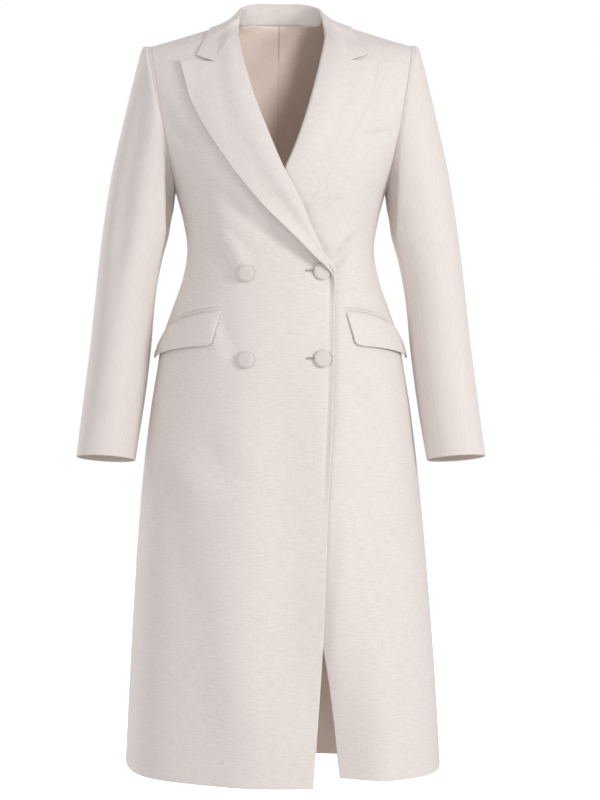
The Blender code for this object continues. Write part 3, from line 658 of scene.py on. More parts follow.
FRONT_ACROSS = close_at_ends(122)
for word, side in SIDES:
    x, z = panel_places(FRONT, lambda at: tucked_edge(side, at), FRONT_HEM_RISE[side],
                        *np.meshgrid(FRONT_ACROSS, PANEL_UP), FRONT_HEM_SAG[side])
    sewn_side = np.where(PANEL_UP > 1, ARMHOLE_DIP[side], 1)
    sew_panel("front_" + word, skirt_rolls(front_skin(side, side * x, z)[0]), side, FRONT,
              (0, sewn_side, 1, 0), INSIDE)


# The sleeves are set in and cut in two pieces each, an upper one over the arm and a narrow one under
# it. The upper one is eased in, so that its head stands a little proud of the armhole seam.
SLEEVE = table(
    "outer_x outer_z inner_x inner_z depth middle_y tilt",
    (SHOULDER_X, SHOULDER_Z, UNDERARM_X, UNDERARM_Z, ARMHOLE_DEPTH, ARMHOLE_Y, 0),
    (206.5, -39.5, 158, -263, 61, 3.5, 0),
    (214.5, -68, 158.5, -268, 60, 3, 0),
    (226.5, -118, 159, -274, 60.5, 2, 0),
    (238.5, -172, 160, -284, 61.5, 1, 0),
    (252, -232, 163, -300, 62.5, 1, 0),
    (262.5, -295, 166, -324, 61.5, 0, 0),
    (271, -360, 176, -362, 59, -2, -0.02),
    (278, -425, 187.5, -425, 56, -6, -0.05),
    (285.5, -500, 195.5, -500, 52.5, -13, -0.08),
    (294.5, -575, 204.5, -575, 49, -22, -0.11),
    (304, -651.5, 216.5, -657, 45, -33, -0.13),
)
FRONT_SLEEVE_SEAM = -128  # degrees from the sleeve's top, minus forward
BACK_SLEEVE_SEAM = 122

# Creases of the sleeves, in millimetres round the sleeve, minus to the front, and down it.
ROUND_MM = 54  # for a radian round the sleeve
DOWN_MM = 60  # for a row of its table
SLEEVE_FOLDS = {
    RIGHT: (
        (-54, 110, -70, 480, -7, 20, 4),
        (-78, 390, -84, 640, 5.5, 36, 0),
        (-8, 60, -4, 300, 1.6, 18, -4),
        (-84, 8, -20, 8, 1.6, 4, 0),
        (-108, 372, -48, 408, -1.6, 10, 4),
        (-104, 408, -30, 428, -1.3, 9, -3),
        (96, 350, 40, 402, 1.5, 14, 4),
        (70, 120, 84, 260, -1.6, 16, 4),
    ),
    LEFT: (
        (-70, 110, -58, 300, -1.6, 16, 4),
        (-12, 70, -22, 300, 1.2, 20, 5),
        (-84, 8, -20, 8, 1.2, 4, 0),
        (-106, 388, -56, 416, -1.4, 9, -4),
        (-98, 428, -40, 446, -1, 9, 3),
        (92, 366, 36, 410, 1.3, 13, -4),
        (66, 130, 78, 280, -1.5, 15, 4),
    ),
}
SLEEVE_CALM = (0, 0.15, 10.2, 11)  # rows of the table where creases begin, are full, wane and end
SLEEVE_WAVES = 0.7  # height of the slow waves, against the panels'
SLEEVE_WAVES_AT = 90  # so that the two sleeves' waves differ

# The soft corner of each sleeve's front: row of the sleeve's table, degrees round the sleeve, height of
# the corner, and depth of the hollow behind it.
CORNER = table(
    "row angle height hollow",
    (0, -106, 0, 0),
    (0.9, -110, 4, 6),
    (2, -117, 8.5, 13),
    (4, -127, 8.5, 13),
    (6, -140, 6.5, 9),
    (7.2, -149, 3.5, 4),
    (8.6, -157, 1, 0),
    (11, -160, 0, 0),
)
HOLLOW_PAST = 27  # the hollow beside the corner, facing the body
HOLLOW_WIDTH = 15
CORNER_FRONT = 44  # how slowly the corner falls off to the front, and to the body
CORNER_INSIDE = 14
CORNER_ROUND = 2
SLEEVE_DOWN = close_at_ends(170) * (len(SLEEVE["depth"]) - 1)
SLEEVE_SEAM_DIP = 0.3  # the sleeve's long seams are pressed flat
SLEEVE_PARTS = (  # each part's first and last seam, and its points across
    ("upper", FRONT_SLEEVE_SEAM, BACK_SLEEVE_SEAM, 100),
    ("under", BACK_SLEEVE_SEAM, FRONT_SLEEVE_SEAM + 360, 56),
)
ALLOWANCE = 4.5  # the sleeve's seam allowance goes on inside the armhole
ALLOWANCE_SHARE = 0.06  # and narrows by this share
ALLOWANCE_STEPS = np.linspace(1, 0.2, 5)[:, None, None]


def sleeve_corner(angle, row):
    """Height of the soft corner, which falls off slowly over the front and quickly towards the body, as
    two exponentials of the distance round the sleeve, and the bell-shaped hollow behind it."""
    peak, height, hollow = (column(CORNER, name, row, by="row") for name in ("angle", "height", "hollow"))
    off = ((angle - np.radians(peak) + pi) % (2 * pi) - pi) * ROUND_MM
    fall = np.where(off > 0, CORNER_FRONT, CORNER_INSIDE)
    rounded = np.sqrt(off ** 2 + CORNER_ROUND ** 2) - CORNER_ROUND
    return height * np.exp(-rounded / fall), hollow * np.exp(-((off + HOLLOW_PAST) / HOLLOW_WIDTH) ** 2)


def sleeve_skin(side, angle, row):
    """A sleeve by the angle round it and the row of its table: an ellipse between the row's outer and
    inner points, with the row's depth to front and back, moved out by the creases."""
    size = {name: column(SLEEVE, name, row, by=None) for name in SLEEVE}
    reach = np.cos(angle)
    sway = np.sin(angle)
    round_mm = angle * ROUND_MM
    down_mm = row * DOWN_MM
    crease = soft_folds(SLEEVE_FOLDS[side], round_mm, down_mm)
    crease = crease + SLEEVE_WAVES * pressed_waves(round_mm + SLEEVE_WAVES_AT * side, down_mm)
    corner, hollow = sleeve_corner(angle, row)
    crease = crease * between(*SLEEVE_CALM, row) + corner
    scoop = ARMHOLE_SCOOP * np.clip(-sway, 0, 1) ** 2 * np.clip(1 - row, 0, 1)
    half_x = (size["outer_x"] - size["inner_x"]) / 2
    half_z = (size["outer_z"] - size["inner_z"]) / 2
    grow = reach * (1 + crease / np.hypot(half_x, half_z))
    x = size["outer_x"] - half_x + half_x * grow
    z = size["outer_z"] - half_z + half_z * grow
    y = size["middle_y"] + (size["depth"] + crease) * sway
    return np.stack([side * (x - scoop + hollow), y, z + size["tilt"] * size["depth"] * sway], -1)


for word, side in SIDES:
    for part, first, last, count in SLEEVE_PARTS:
        angle, row = np.meshgrid(radians(first) + close_at_ends(count) * radians(last - first), SLEEVE_DOWN)
        outer = sleeve_skin(side, np.where(angle > pi, angle - 2 * pi, angle), row)
        middle = sum(sleeve_skin(side, np.full_like(row, turn), row) for turn in (0, pi)) / 2
        tuck = (middle[0] - outer[0]) * ALLOWANCE_SHARE - (side * ALLOWANCE, 0, 0)
        outer = np.concatenate([outer[0] + ALLOWANCE_STEPS * tuck, outer])
        middle = np.concatenate([middle[0] + ALLOWANCE_STEPS * tuck, middle])
        piece = cloth_piece(f"wool_sleeve_{word}_{part}", outer, way_out(outer, middle),
                            (0, SLEEVE_SEAM_DIP, 0, SLEEVE_SEAM_DIP))
        dress(piece, [f"sleeve_{word}_{part}"], inside=INSIDE)


# The lapels are the turned-back tops of the fronts. Each folds over softly along the roll line, from
# the facing inside the coat, lies on the chest and ends in a peak beside the collar.
LAPEL = table(
    "roll_z edge_z right_edge_x left_edge_x",
    (-384, -387, -69.5, -60),
    (-324, -332, -20, -14),
    (-278, -285.5, 27.5, 32),
    (-232, -239, 66.5, 66),
    (-178, -185, 102.5, 98),
    (-113, -130, 131, 126),
    (-66, -90, 142.5, 136.5),
    (-24, -66, 149, 143),
)
LAPEL_FOLDS = (
    (-92, -50, -80, -150, -1.6, 11, 3),
    (-112, -120, -78, -205, 1, 14, 4),
)
LAPEL_FOLDS_ACROSS = (0.1, 0.3)  # they begin beside the roll line
GORGE_END = (96, -72.5)  # x and z of the notch, where collar and lapel part
GORGE_SHARE = 0.42  # share of the lapel's top edge that is sewn to the collar
GORGE_BEND = 4  # power by which the rows below it straighten out
GORGE_DIP = 0.3  # the gorge seam is pressed flat and hardly shows
LAPEL_REST = 1.2  # gap under a lapel
LAPEL_THIN = {RIGHT: 0, LEFT: 1.1}  # the left lapel's edge is pressed thinner
LEFT_EDGE_REST = 0.3  # and closer to the chest
LAPEL_PRESS_ACROSS = (0.7, 1)
LAPEL_ROLL = 4.5  # height of the roll
LAPEL_ROLL_AT = 0.26  # its place across the lapel
LAPEL_ROLL_SHARE = 0.24  # its spread
LAPEL_FOLD = 1.6  # room inside the fold
LAPEL_STAND = 3  # how far the right lapel's edge stands off the chest
LAPEL_STAND_ALONG = (0, 0.1)
LAPEL_LIFT = 8  # and how much more low down
LAPEL_LIFT_AT = 0.14
LAPEL_LIFT_SHARE = 0.13
LAPEL_OVER = 5.5  # its end rises over the upper left button, most of all there
LAPEL_OVER_ALONG = 0.03
VISIBLE_ROLL_Z = (-250, -200)  # the left fold flattens here, under the right front
FOLD_MOST = 0.42  # the fold's radius and the facing, as shares of the lapel's width, at most
FACING = 14  # how much of the facing is built, inside the fold
FACING_MOST = 0.4
LAPEL_ALONG = close_at_ends(150)[:, None]
FACING_STEPS = np.linspace(0, 1, 9)[:-1]
FOLD_STEPS = np.linspace(0, 1, 17)[:-1]
CHEST_STEPS = close_at_ends(72)
LAPEL_STEP = 0.02  # a short step across, for directions
TOWARDS_BACK = np.array([0, 60, 0])


def bent_end(across, share, first, last, place):
    """How far a straight end, from `first` to `last`, is moved so that it bends at a share of its
    length, and passes through `place` there: two straight slopes."""
    tent = np.minimum(across / share, (1 - across) / (1 - share))
    return tent * (place - first - share * (last - first))


def lapel_face(side, across, along):
    """The lapel's outer face, and its front's normals, by across, 0 at the roll line to 1 at its edge,
    and along, 0 at the break to 1 at the top edge, which bends at the notch. It lies on its front,
    higher near the fold."""
    size = {name: column(LAPEL, name, along * (len(LAPEL["roll_z"]) - 1), by=None) for name in LAPEL}
    edge_name = "right_edge_x" if side == RIGHT else "left_edge_x"
    roll_x = side * front_edge(side, size["roll_z"])
    bend_x = bent_end(across, GORGE_SHARE, NECK_X, LAPEL[edge_name][-1], GORGE_END[0])
    bend_z = bent_end(across, GORGE_SHARE, LAPEL["roll_z"][-1], LAPEL["edge_z"][-1], GORGE_END[1])
    x = roll_x + (size[edge_name] - roll_x) * across + along ** GORGE_BEND * bend_x
    z = size["roll_z"] + (size["edge_z"] - size["roll_z"]) * across + along ** GORGE_BEND * bend_z
    height = LAPEL_ROLL * np.exp(-((across - LAPEL_ROLL_AT) / LAPEL_ROLL_SHARE) ** 2)
    if side == RIGHT:
        stand = LAPEL_LIFT * np.exp(-((along - LAPEL_LIFT_AT) / LAPEL_LIFT_SHARE) ** 2)
        over = along / LAPEL_OVER_ALONG
        stand = stand + LAPEL_STAND * ease(*LAPEL_STAND_ALONG, along) + LAPEL_OVER * over * np.exp(1 - over)
        creases = soft_folds(LAPEL_FOLDS, -x, z) * ease(*LAPEL_FOLDS_ACROSS, across)
        height = height + stand * across ** 2 + creases
    else:
        press = LAPEL_THIN[LEFT] + LAPEL_REST - LEFT_EDGE_REST
        height = height * ease(*VISIBLE_ROLL_Z, z) - press * ease(*LAPEL_PRESS_ACROSS, across)
    return front_skin(side, side * x, z, LAPEL_REST + CLOTH + height, curled=False)


def lapel_fold(side, along):
    """Radius of the half circle over the roll line, which just takes in the front's own edge and narrows
    towards the break, and the lapel's width."""
    start, end = (lapel_face(side, np.full_like(along, share), along)[0] for share in (0, 1))
    width = np.linalg.norm(end - start, axis=-1)
    room = LAPEL_FOLD * (1 if side == RIGHT else ease(*VISIBLE_ROLL_Z, start[..., 2]))
    return np.minimum((LAPEL_REST + 3 * CLOTH + room) / 2, FOLD_MOST * width), width


def lapel_grid(side):
    """Rows across the lapel: along the facing inside, half a circle over the roll line, and out over
    the chest."""
    radius, width = lapel_fold(side, LAPEL_ALONG)
    begin = radius / width
    top = lapel_face(side, begin + (1 - begin) * CHEST_STEPS, LAPEL_ALONG + 0 * CHEST_STEPS)[0]
    first, out = lapel_face(side, begin, LAPEL_ALONG)
    way = unit(first - lapel_face(side, begin + LAPEL_STEP, LAPEL_ALONG)[0])
    out = unit(out - way * np.sum(out * way, axis=-1, keepdims=True))
    radius = radius[..., None]
    middle = first - radius * out
    turn = pi * (1 - FOLD_STEPS)[:, None]
    fold = middle + radius * (np.cos(turn) * out + np.sin(turn) * way)
    tail = (1 - FACING_STEPS)[:, None] * np.minimum(FACING, FACING_MOST * width)[..., None]
    return np.concatenate([middle - radius * out - way * tail, fold, top], axis=1)


for word, side in SIDES:
    outer = lapel_grid(side)
    columns = outer.shape[1]
    chest = len(CHEST_STEPS)
    sewn_top = GORGE_DIP * (np.arange(columns) < columns - chest * (1 - GORGE_SHARE))
    over_chest = np.linspace(1 - columns / chest, 1, columns)
    thickness = CLOTH - LAPEL_THIN[side] * ease(*LAPEL_PRESS_ACROSS, over_chest)
    piece = cloth_piece("wool_lapel_" + word, outer, way_out(outer, outer + TOWARDS_BACK),
                        (0, 0, sewn_top, 1), thickness)
    dress(piece, ["lapel_" + word])


# The collar is one strip of wool: it stands up from the neckline, folds over along the same line as the
# lapels and falls on the shoulders. Its front ends are sewn to the lapels along the gorge.
COLLAR = table(
    "fold_x fold_y fold_z edge_x edge_y edge_z bulge",
    (0, 73, 37.2, 0, 81, -16, 8),
    (34, 67, 36.2, 50, 71, -15, 7),
    (55, 45, 30, 87, 43, -10, 0.5),
    (61, 14, 19.5, 103, 12, -5, -5),
    (62, -14, 3, 110, -21, -21, -0.5),
    (61.5, -37, -24, 124, -60, -58.5, 4),
)
COLLAR_SPANS = len(COLLAR["bulge"]) - 1
BULGE_LEAN = 0.45  # the fall bulges out more near its fold
NOTCH_SHARE = 0.54  # share of the collar's end that is sewn to the lapel
COLLAR_REST = 1.5  # gap under the ends of the collar
COLLAR_LIES = (0.1, 0.9)  # it comes down onto the front between these shares of its last span
STAND_SIDE = 0.62  # share of the stand's half that lies behind the neck point
STAND_FRONT_DROP = 22  # how far its seam drops in front of the neck point
STAND_INSET = CLOTH + 1.6  # how far its inner face lies inside the neckline behind
STAND_CLOSEST = 20  # distance from the neck's middle that this is worked out for, at least
STAND_UNDER = (3, 3, 3.5)  # how far inside and under the fold it ends
STAND_TOP = 0.86  # shares of stand and fall where the round fold begins and ends
FALL_START = 0.10
FOLD_HANDLE = 0.66  # how round the fold is
COLLAR_STEP = 0.03  # a short step down the fall, for its direction
GORGE_ALONG = (0.66, 1)  # the collar is drawn onto the lapels between these shares of its half
BELOW_FALL = 60  # the fall's outer face looks away from points this far below it
STAND_STEPS = close_at_ends(24)[:-1] * STAND_TOP
OVER_STEPS = np.linspace(0, 1, 18)
FALL_STEPS = FALL_START + (1 - FALL_START) * close_at_ends(48)[1:]
FALL_COLUMN = len(STAND_STEPS) + len(OVER_STEPS)  # the fall's first column
HALF_ALONG = np.sin(np.linspace(0.001, pi / 2, 120))
COLLAR_ALONG = np.concatenate([-HALF_ALONG[::-1], HALF_ALONG])[:, None]


def collar_size(name, along):
    """A column of the collar's table, from the centre back, along 0, to either front end, 1 or -1. The
    table's second row is mirrored before its first one, so that the collar is smooth at the centre."""
    values = COLLAR[name]
    mirrored = -values[1] if name.endswith("_x") else values[1]
    return through(np.arange(-1, len(values)), np.append(mirrored, values), np.abs(along) * COLLAR_SPANS)


def collar_fall(across, along):
    """The fall by across, 0 at the fold to 1 at its outer edge. A parabola bulges each row out between
    its ends, and the last rows come down onto the front, where the end follows the gorge."""
    across, along = np.broadcast_arrays(across, along)
    fold_x, fold_y, fold_z, edge_x, edge_y, edge_z, bulge = (collar_size(name, along) for name in COLLAR)
    ahead = fold_y - NECK_Y
    away = np.hypot(fold_x, ahead)
    drop = fold_z - edge_z
    normal = unit(np.stack([drop * fold_x / away, drop * ahead / away,
                            np.hypot(edge_x - fold_x, edge_y - fold_y)], -1))
    bulge = bulge * 4 * across * (1 - across) * (1 - BULGE_LEAN * across)
    last = np.abs(along) * COLLAR_SPANS - (COLLAR_SPANS - 1)
    bend_x, bend_z = (
        bent_end(across, NOTCH_SHARE, COLLAR["fold_" + way][-1], COLLAR["edge_" + way][-1], place)
        * np.clip(last, 0, 1) ** 2 for way, place in zip("xz", GORGE_END))
    x = fold_x + (edge_x - fold_x) * across + bend_x
    z = fold_z - drop * across + bend_z
    points = np.stack([x, fold_y + (edge_y - fold_y) * across, z], -1) + normal * bulge[..., None]
    lying = front_skin(LEFT, x, z, COLLAR_REST + CLOTH)[0]
    points = points + (lying - points) * ease(*COLLAR_LIES, last)[..., None]
    return points * np.stack([np.sign(along), np.ones_like(x), np.ones_like(x)], -1)


def collar_stand(height, along):
    """The stand's inner face by height, 0 at the neck seam to 1 under the fold. Its seam is half an
    ellipse behind the neck points, and runs down the fronts before them."""
    far = np.abs(along)
    turn = np.clip(far / STAND_SIDE, 0, 1) * pi / 2
    ahead = np.clip((far - STAND_SIDE) / (1 - STAND_SIDE), 0, 1)
    seam_x = NECK_X * np.sin(turn)
    seam_z = neckline_z(np.sin(turn)) - STAND_FRONT_DROP * ahead
    seam_y = np.where(ahead > 0, depth_of_body(seam_x, seam_z, FRONT), depth_of_body(seam_x, seam_z, BACK))
    from_middle = np.maximum(np.hypot(seam_x, seam_y - NECK_Y), STAND_CLOSEST)
    shrink = 1 - STAND_INSET * np.cos(turn) / from_middle
    in_x, in_y, under = STAND_UNDER
    x = seam_x + (collar_size("fold_x", along) - in_x - seam_x) * height * np.sin(turn)
    y = seam_y + (collar_size("fold_y", along) - in_y * np.cos(turn) - seam_y) * height
    z = seam_z + (collar_size("fold_z", along) - under - seam_z) * height
    return np.stack([np.sign(along) * x * shrink, NECK_Y + (y - NECK_Y) * shrink, z], -1)


def collar_grid():
    """Rows across the collar: up the stand, over the fold in a round curve whose two handles follow the
    stand and the fall, and down the fall. Its end rows are then drawn onto the lapels' top edges, up to
    the notch, and the rows before them less and less."""
    begin = collar_stand(STAND_TOP, COLLAR_ALONG)
    end = collar_fall(FALL_START, COLLAR_ALONG)
    rise = unit(collar_stand(1, COLLAR_ALONG) - begin)
    dive = unit(collar_fall(FALL_START + COLLAR_STEP, COLLAR_ALONG) - end)
    handle = FOLD_HANDLE * np.linalg.norm(end - begin, axis=-1, keepdims=True)
    s = OVER_STEPS[:, None]
    over = (begin * (1 - s) ** 3 + 3 * (begin + handle * rise) * (1 - s) ** 2 * s
            + 3 * (end - handle * dive) * (1 - s) * s ** 2 + end * s ** 3)
    stand = collar_stand(STAND_STEPS, COLLAR_ALONG)
    grid = np.concatenate([stand, over, collar_fall(FALL_STEPS, COLLAR_ALONG)], axis=1)

    radius, width = lapel_fold(LEFT, np.ones((1, 1)))
    fold_share = (radius / width).item()
    notch = (GORGE_SHARE - fold_share) / (1 - fold_share)
    past = (FALL_STEPS - FALL_START) / (NOTCH_SHARE - FALL_START)
    place = np.concatenate([STAND_STEPS / STAND_TOP, 1 + OVER_STEPS, 2 + notch * np.minimum(past, 1)])
    hold = np.minimum((1 - FALL_STEPS) / (1 - NOTCH_SHARE), 1)
    hold = np.concatenate([np.ones(FALL_COLUMN), hold])[:, None]
    lapel_place = np.concatenate([FACING_STEPS, 1 + FOLD_STEPS, 2 + CHEST_STEPS])
    for side, end_row in ((RIGHT, 0), (LEFT, -1)):
        top = lapel_grid(side)[-1]
        target = np.stack([np.interp(place, lapel_place, top[:, k]) for k in range(3)], -1)
        shift = (target - grid[end_row]) * hold
        notch_shift = shift[FALL_COLUMN + np.searchsorted(past, 1)] * hold
        shift = np.where((place < 2 + notch)[:, None], shift, notch_shift)
        grid = grid + ease(*GORGE_ALONG, side * COLLAR_ALONG)[..., None] * shift
    return grid


outer = collar_grid()
inside = outer.copy()
inside[:, FALL_COLUMN:, :2] = (0, NECK_Y)
inside[:, FALL_COLUMN:, 2] -= BELOW_FALL
sewn_end = GORGE_DIP * (np.arange(outer.shape[1]) < FALL_COLUMN + len(FALL_STEPS) * NOTCH_SHARE)
piece = cloth_piece("wool_collar", outer, way_out(outer, inside), (sewn_end, 0, sewn_end, 1),
                    threads=np.stack(run_lengths(outer)[::-1], -1))
dress(piece, ["collar_stand", "collar_fall"])


# Each pocket has a flap of two layers of wool, sewn in under a narrow welt that is raised like a cord.
# The flap hangs over the side of the hip, and its lower back corner stands off the coat.
FLAP_INNER = ((91, -438), (105, -488.5))  # x and z of the flap's inner edge, top and bottom
FLAP_OUTER = ((163, -456), (182.5, -506))  # the same of its outer edge
FLAP_WIDTH = 88  # its run lengths
FLAP_DEPTH = 52
FLAP_CORNER = {RIGHT: 3.5, LEFT: 6}  # radius of its round corner
FLAP_CLOTH = 3
FLAP_REST = 0.5  # gap under it
FLAP_TUCK = 2.2  # how far its top sinks towards the seam under the welt
FLAP_TUCK_DOWN = (0, 0.16)
FLAP_HANG = 1.4  # how far its lower edge stands off
FLAP_HANG_POWER = 1.5
FLAP_STAND = 3  # and its lower back corner
FLAP_BOW = 2.6  # how far the flap's top edge bows up between its ends

# The welt's section, from the flap up: a round cord between two grooves, then the coat's cloth beyond the
# upper seam, which sinks back to the front. Columns: distance up from the flap's top, and height.
WELT_SECTION = table(
    "up height",
    (0.3, 0.1),
    (0.8, 1.9),
    (2.3, 3.1),
    (3.8, 2.1),
    (4.5, 0.2),
    (5.3, 1.7),
    (7.5, 1.5),
    (11, 0.7),
    (15, -0.4),
)
WELT_START = -0.02  # where it starts, and how far it goes, as shares of the flap's width
WELT_SPAN = 0.96
WELT_CLOTH = 0.4
END_ROUND = 0.25  # power of the sine that rounds off the ends of welts and buttonholes


def flap_edge(corners, down):
    """Angle round the body and height of a flap's edge, in straight lines from its top corner to its
    lower one. A corner that lies past the side seam counts as on it."""
    turns = [np.arcsin(min(x / side_of_body(np.float64(z), FRONT)[0], 1)) for x, z in corners]
    heights = [z for x, z in corners]
    return [top + (low - top) * down for top, low in (turns, heights)]


def flap_place(side, across, down):
    """x and z of a flap's point, across from its inner edge to its outer one and down from its top:
    straight lines in height and in the angle round the body."""
    inner_turn, inner_z = flap_edge(FLAP_INNER, down)
    outer_turn, outer_z = flap_edge(FLAP_OUTER, down)
    z = inner_z + (outer_z - inner_z) * across + 4 * FLAP_BOW * across * (1 - across)
    turn = inner_turn + (outer_turn - inner_turn) * across
    return side * side_of_body(z, FRONT)[0] * np.sin(turn), z


def round_corner(across, down, radius):
    """Move a grid's points so that its corner at across 0, down 1 is a quarter circle: inside the
    corner's square, each point keeps its direction from the square's inner corner."""
    away = np.maximum(radius - across * FLAP_WIDTH, 0)
    low = np.maximum(radius - (1 - down) * FLAP_DEPTH, 0)
    both = (away > 0) & (low > 0)
    shrink = np.where(both, np.maximum(away, low) / np.maximum(np.hypot(away, low), 1e-9), 1)
    across = np.where(both, (radius - away * shrink) / FLAP_WIDTH, across)
    return across, np.where(both, 1 - (radius - low * shrink) / FLAP_DEPTH, down)


def round_ends(share):
    """1 along most of a strip, and a quick round fall to 0 at its ends, share 0 and 1."""
    return np.clip(np.sin(pi * share), 0, 1) ** END_ROUND


for word, side in SIDES:
    across, down = round_corner(*np.meshgrid(close_at_ends(72), close_at_ends(56)), FLAP_CORNER[side])
    height = FLAP_REST + FLAP_CLOTH - FLAP_TUCK * (1 - ease(*FLAP_TUCK_DOWN, down))
    height = height + FLAP_HANG * down ** FLAP_HANG_POWER + FLAP_STAND * down * across
    outer, normal = front_skin(side, *flap_place(side, across, down), height)
    piece = cloth_piece("wool_flap_" + word, outer, normal, (1, 0, 0, 0), thickness=FLAP_CLOTH)
    dress(piece, ["pocket_flap_" + word])

    last_row = len(WELT_SECTION["up"]) - 1
    share, row = np.meshgrid(close_at_ends(80), np.linspace(0, last_row, 49))
    x, z = flap_place(side, WELT_START + WELT_SPAN * share, 0 * share)
    z = z + column(WELT_SECTION, "up", row, by=None)
    height = (column(WELT_SECTION, "height", row, by=None) + WELT_CLOTH) * round_ends(share) - WELT_CLOTH
    outer, normal = front_skin(side, x, z, height)
    piece = cloth_piece("wool_welt_" + word, outer, normal, (0, 0, 0, 0), thickness=WELT_CLOTH)
    dress(piece, ["pocket_welt_" + word])


# The buttons are low domes covered with the coat's own wool, drawn tight over the rim and gathered in
# under it. They are sewn to the right front in two rows of two.
BUTTON_RADIUS = 12.5
BUTTON_HEIGHT = 6.5
BUTTON_REST = 0.4  # gap under a button
BUTTON_X = {"right": -55, "left": 55}
BUTTON_Z = {"upper": {"right": -385, "left": -382.5}, "lower": {"right": -511, "left": -509}}
BUTTON_PROFILE = table(
    "share rise",
    (0, 1),
    (0.45, 0.97),
    (0.72, 0.9),
    (0.9, 0.74),
    (1, 0.48),
    (0.985, 0.24),
    (0.88, 0.06),
    (0.6, 0),
    (0, 0),
)
BUTTON_GATHERS = 26
GATHER_DEPTH = 0.012  # share of the radius
GATHER_ROWS = (3.4, 5)  # they begin at the rim, between these rows of the profile
BUTTON_PALE = (0.73, 0.67, 0.64, 1)
BUTTON_DARK = (0.64, 0.58, 0.55, 1)
BUTTON_WOOL = wool("button_wool", BUTTON_PALE, BUTTON_DARK)


def button(name, x, z):
    """A dome turned round the front's normal: a smooth profile with fine gathers under its rim."""
    row, turn = np.meshgrid(np.linspace(0, len(BUTTON_PROFILE["rise"]) - 1, 41),
                            np.linspace(0, 2 * pi, 72, endpoint=False))
    share, rise = (np.maximum(column(BUTTON_PROFILE, k, row, by=None), 0) for k in BUTTON_PROFILE)
    gather = 1 + GATHER_DEPTH * np.sin(BUTTON_GATHERS * turn) * ease(*GATHER_ROWS, row)
    seat, out = front_skin(RIGHT, np.float64(x), np.float64(z), BUTTON_REST)
    level = unit(np.cross(out, (0, 0, 1)))
    flat = np.stack([np.cos(turn), np.sin(turn)], -1) * (BUTTON_RADIUS * share * gather)[..., None]
    points = seat + flat @ (level, np.cross(level, out)) + (BUTTON_HEIGHT * rise)[..., None] * out
    count, rings = points.shape[:2]
    index = np.arange(count * rings).reshape(count, rings)[:, 1:-1]
    after = np.roll(index, -1, axis=0)
    cells = np.stack([index[:, :-1], index[:, 1:], after[:, 1:], after[:, :-1]], -1).reshape(-1, 4)
    poles = np.broadcast_to([[0], [rings - 1]], (2, count))
    caps = np.stack([poles, (index[:, 0], after[:, -1]), (after[:, 0], index[:, -1])], -1).reshape(-1, 3)
    return new_object(name, points.reshape(-1, 3), cells.tolist() + caps.tolist(), flat.reshape(-1, 2))


for across_word, button_x in BUTTON_X.items():
    for row_word, button_z in BUTTON_Z.items():
        piece = button(f"wool_button_{across_word}_{row_word}", button_x, button_z[across_word])
        piece.data.materials.append(BUTTON_WOOL)
        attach(piece, "root")
        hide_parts(f"button_{across_word}_{row_word}")


# The left buttons come through two buttonholes of the right front. Each is a slit whose lips are sewn
# over closely with thread, and it runs from beside the button to under it. The faces between the lips
# are painted dark with the shadow inside the slit.
BUTTONHOLE_X = (31, 60)
BUTTONHOLE_Z = {"upper": -381, "lower": -508.5}
LIP_WIDTH = 2
LIP_RISE = 1.1
LIP_CLOTH = 0.3
LIP_REST = 0.35  # how high its lower face lies
SLIT = 0.45  # half the slit's width
HOLE_END = 0.4  # width at the ends, as a share
STITCH = 1.1  # from one stitch to the next
THREAD_PALE = (0.66, 0.59, 0.55, 1)
# painted shadow inside the slit
SLIT_PAINTED_SHADOW = (0.16, 0.12, 0.10, 1)
STITCH_SHADE = 0.8  # share of the colour left in the painted shade between stitches


def stitches(name, colour):
    """Dull thread: fine bands of stitches, in relief and in colour, whose darker bands are painted shade
    between stitches, along the second thread coordinate. The slit's painted shadow wears it too.
    """
    material, tree, shader, place = thread_material(name)
    bands = shader_node(tree, "ShaderNodeTexWave", "Fac", {
        "Vector": place, "Scale": bands_scale(STITCH), "Distortion": 0.6}, bands_direction="Y")
    shades = shader_node(tree, "ShaderNodeValToRGB", "Color", {"Fac": bands})
    shades.node.color_ramp.elements[0].color = np.multiply(colour, (*[STITCH_SHADE] * 3, 1))
    shades.node.color_ramp.elements[1].color = colour
    colour_and_relief(tree, shader, shades, bands, 0.4, 0.3)
    shader.inputs["Roughness"].default_value = 0.8
    return material


LIP_THREAD = stitches("buttonhole_thread", THREAD_PALE)
SLIT_SHADE = stitches("buttonhole_slit_painted_shadow", SLIT_PAINTED_SHADOW)
for row_word, hole_z in BUTTONHOLE_Z.items():
    off, along = np.meshgrid(np.linspace(-1, 1, 25) * (SLIT + LIP_WIDTH), close_at_ends(60))
    ends = round_ends(along)
    into = np.clip((np.abs(off) - SLIT) / LIP_WIDTH, 0, 1)
    x = BUTTONHOLE_X[0] + (BUTTONHOLE_X[1] - BUTTONHOLE_X[0]) * along
    z = hole_z + off * (HOLE_END + (1 - HOLE_END) * ends)
    outer, normal = front_skin(RIGHT, x, z, LIP_REST + LIP_RISE * np.sin(pi * into) * ends)
    piece = cloth_piece("buttonhole_" + row_word, outer, normal, (0, 0, 0, 0), thickness=LIP_CLOTH)
    # the faces between the lips get the slit's painted shadow
    in_slit = np.abs(off[:-1, :-1] + off[:-1, 1:]).ravel() / 2 < SLIT
    slit_faces = np.zeros(len(piece.data.polygons), dtype=int)
    slit_faces[:in_slit.size] = in_slit
    piece.data.polygons.foreach_set("material_index", slit_faces)
    piece.data.materials.append(LIP_THREAD)
    piece.data.materials.append(SLIT_SHADE)
    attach(piece, "root")


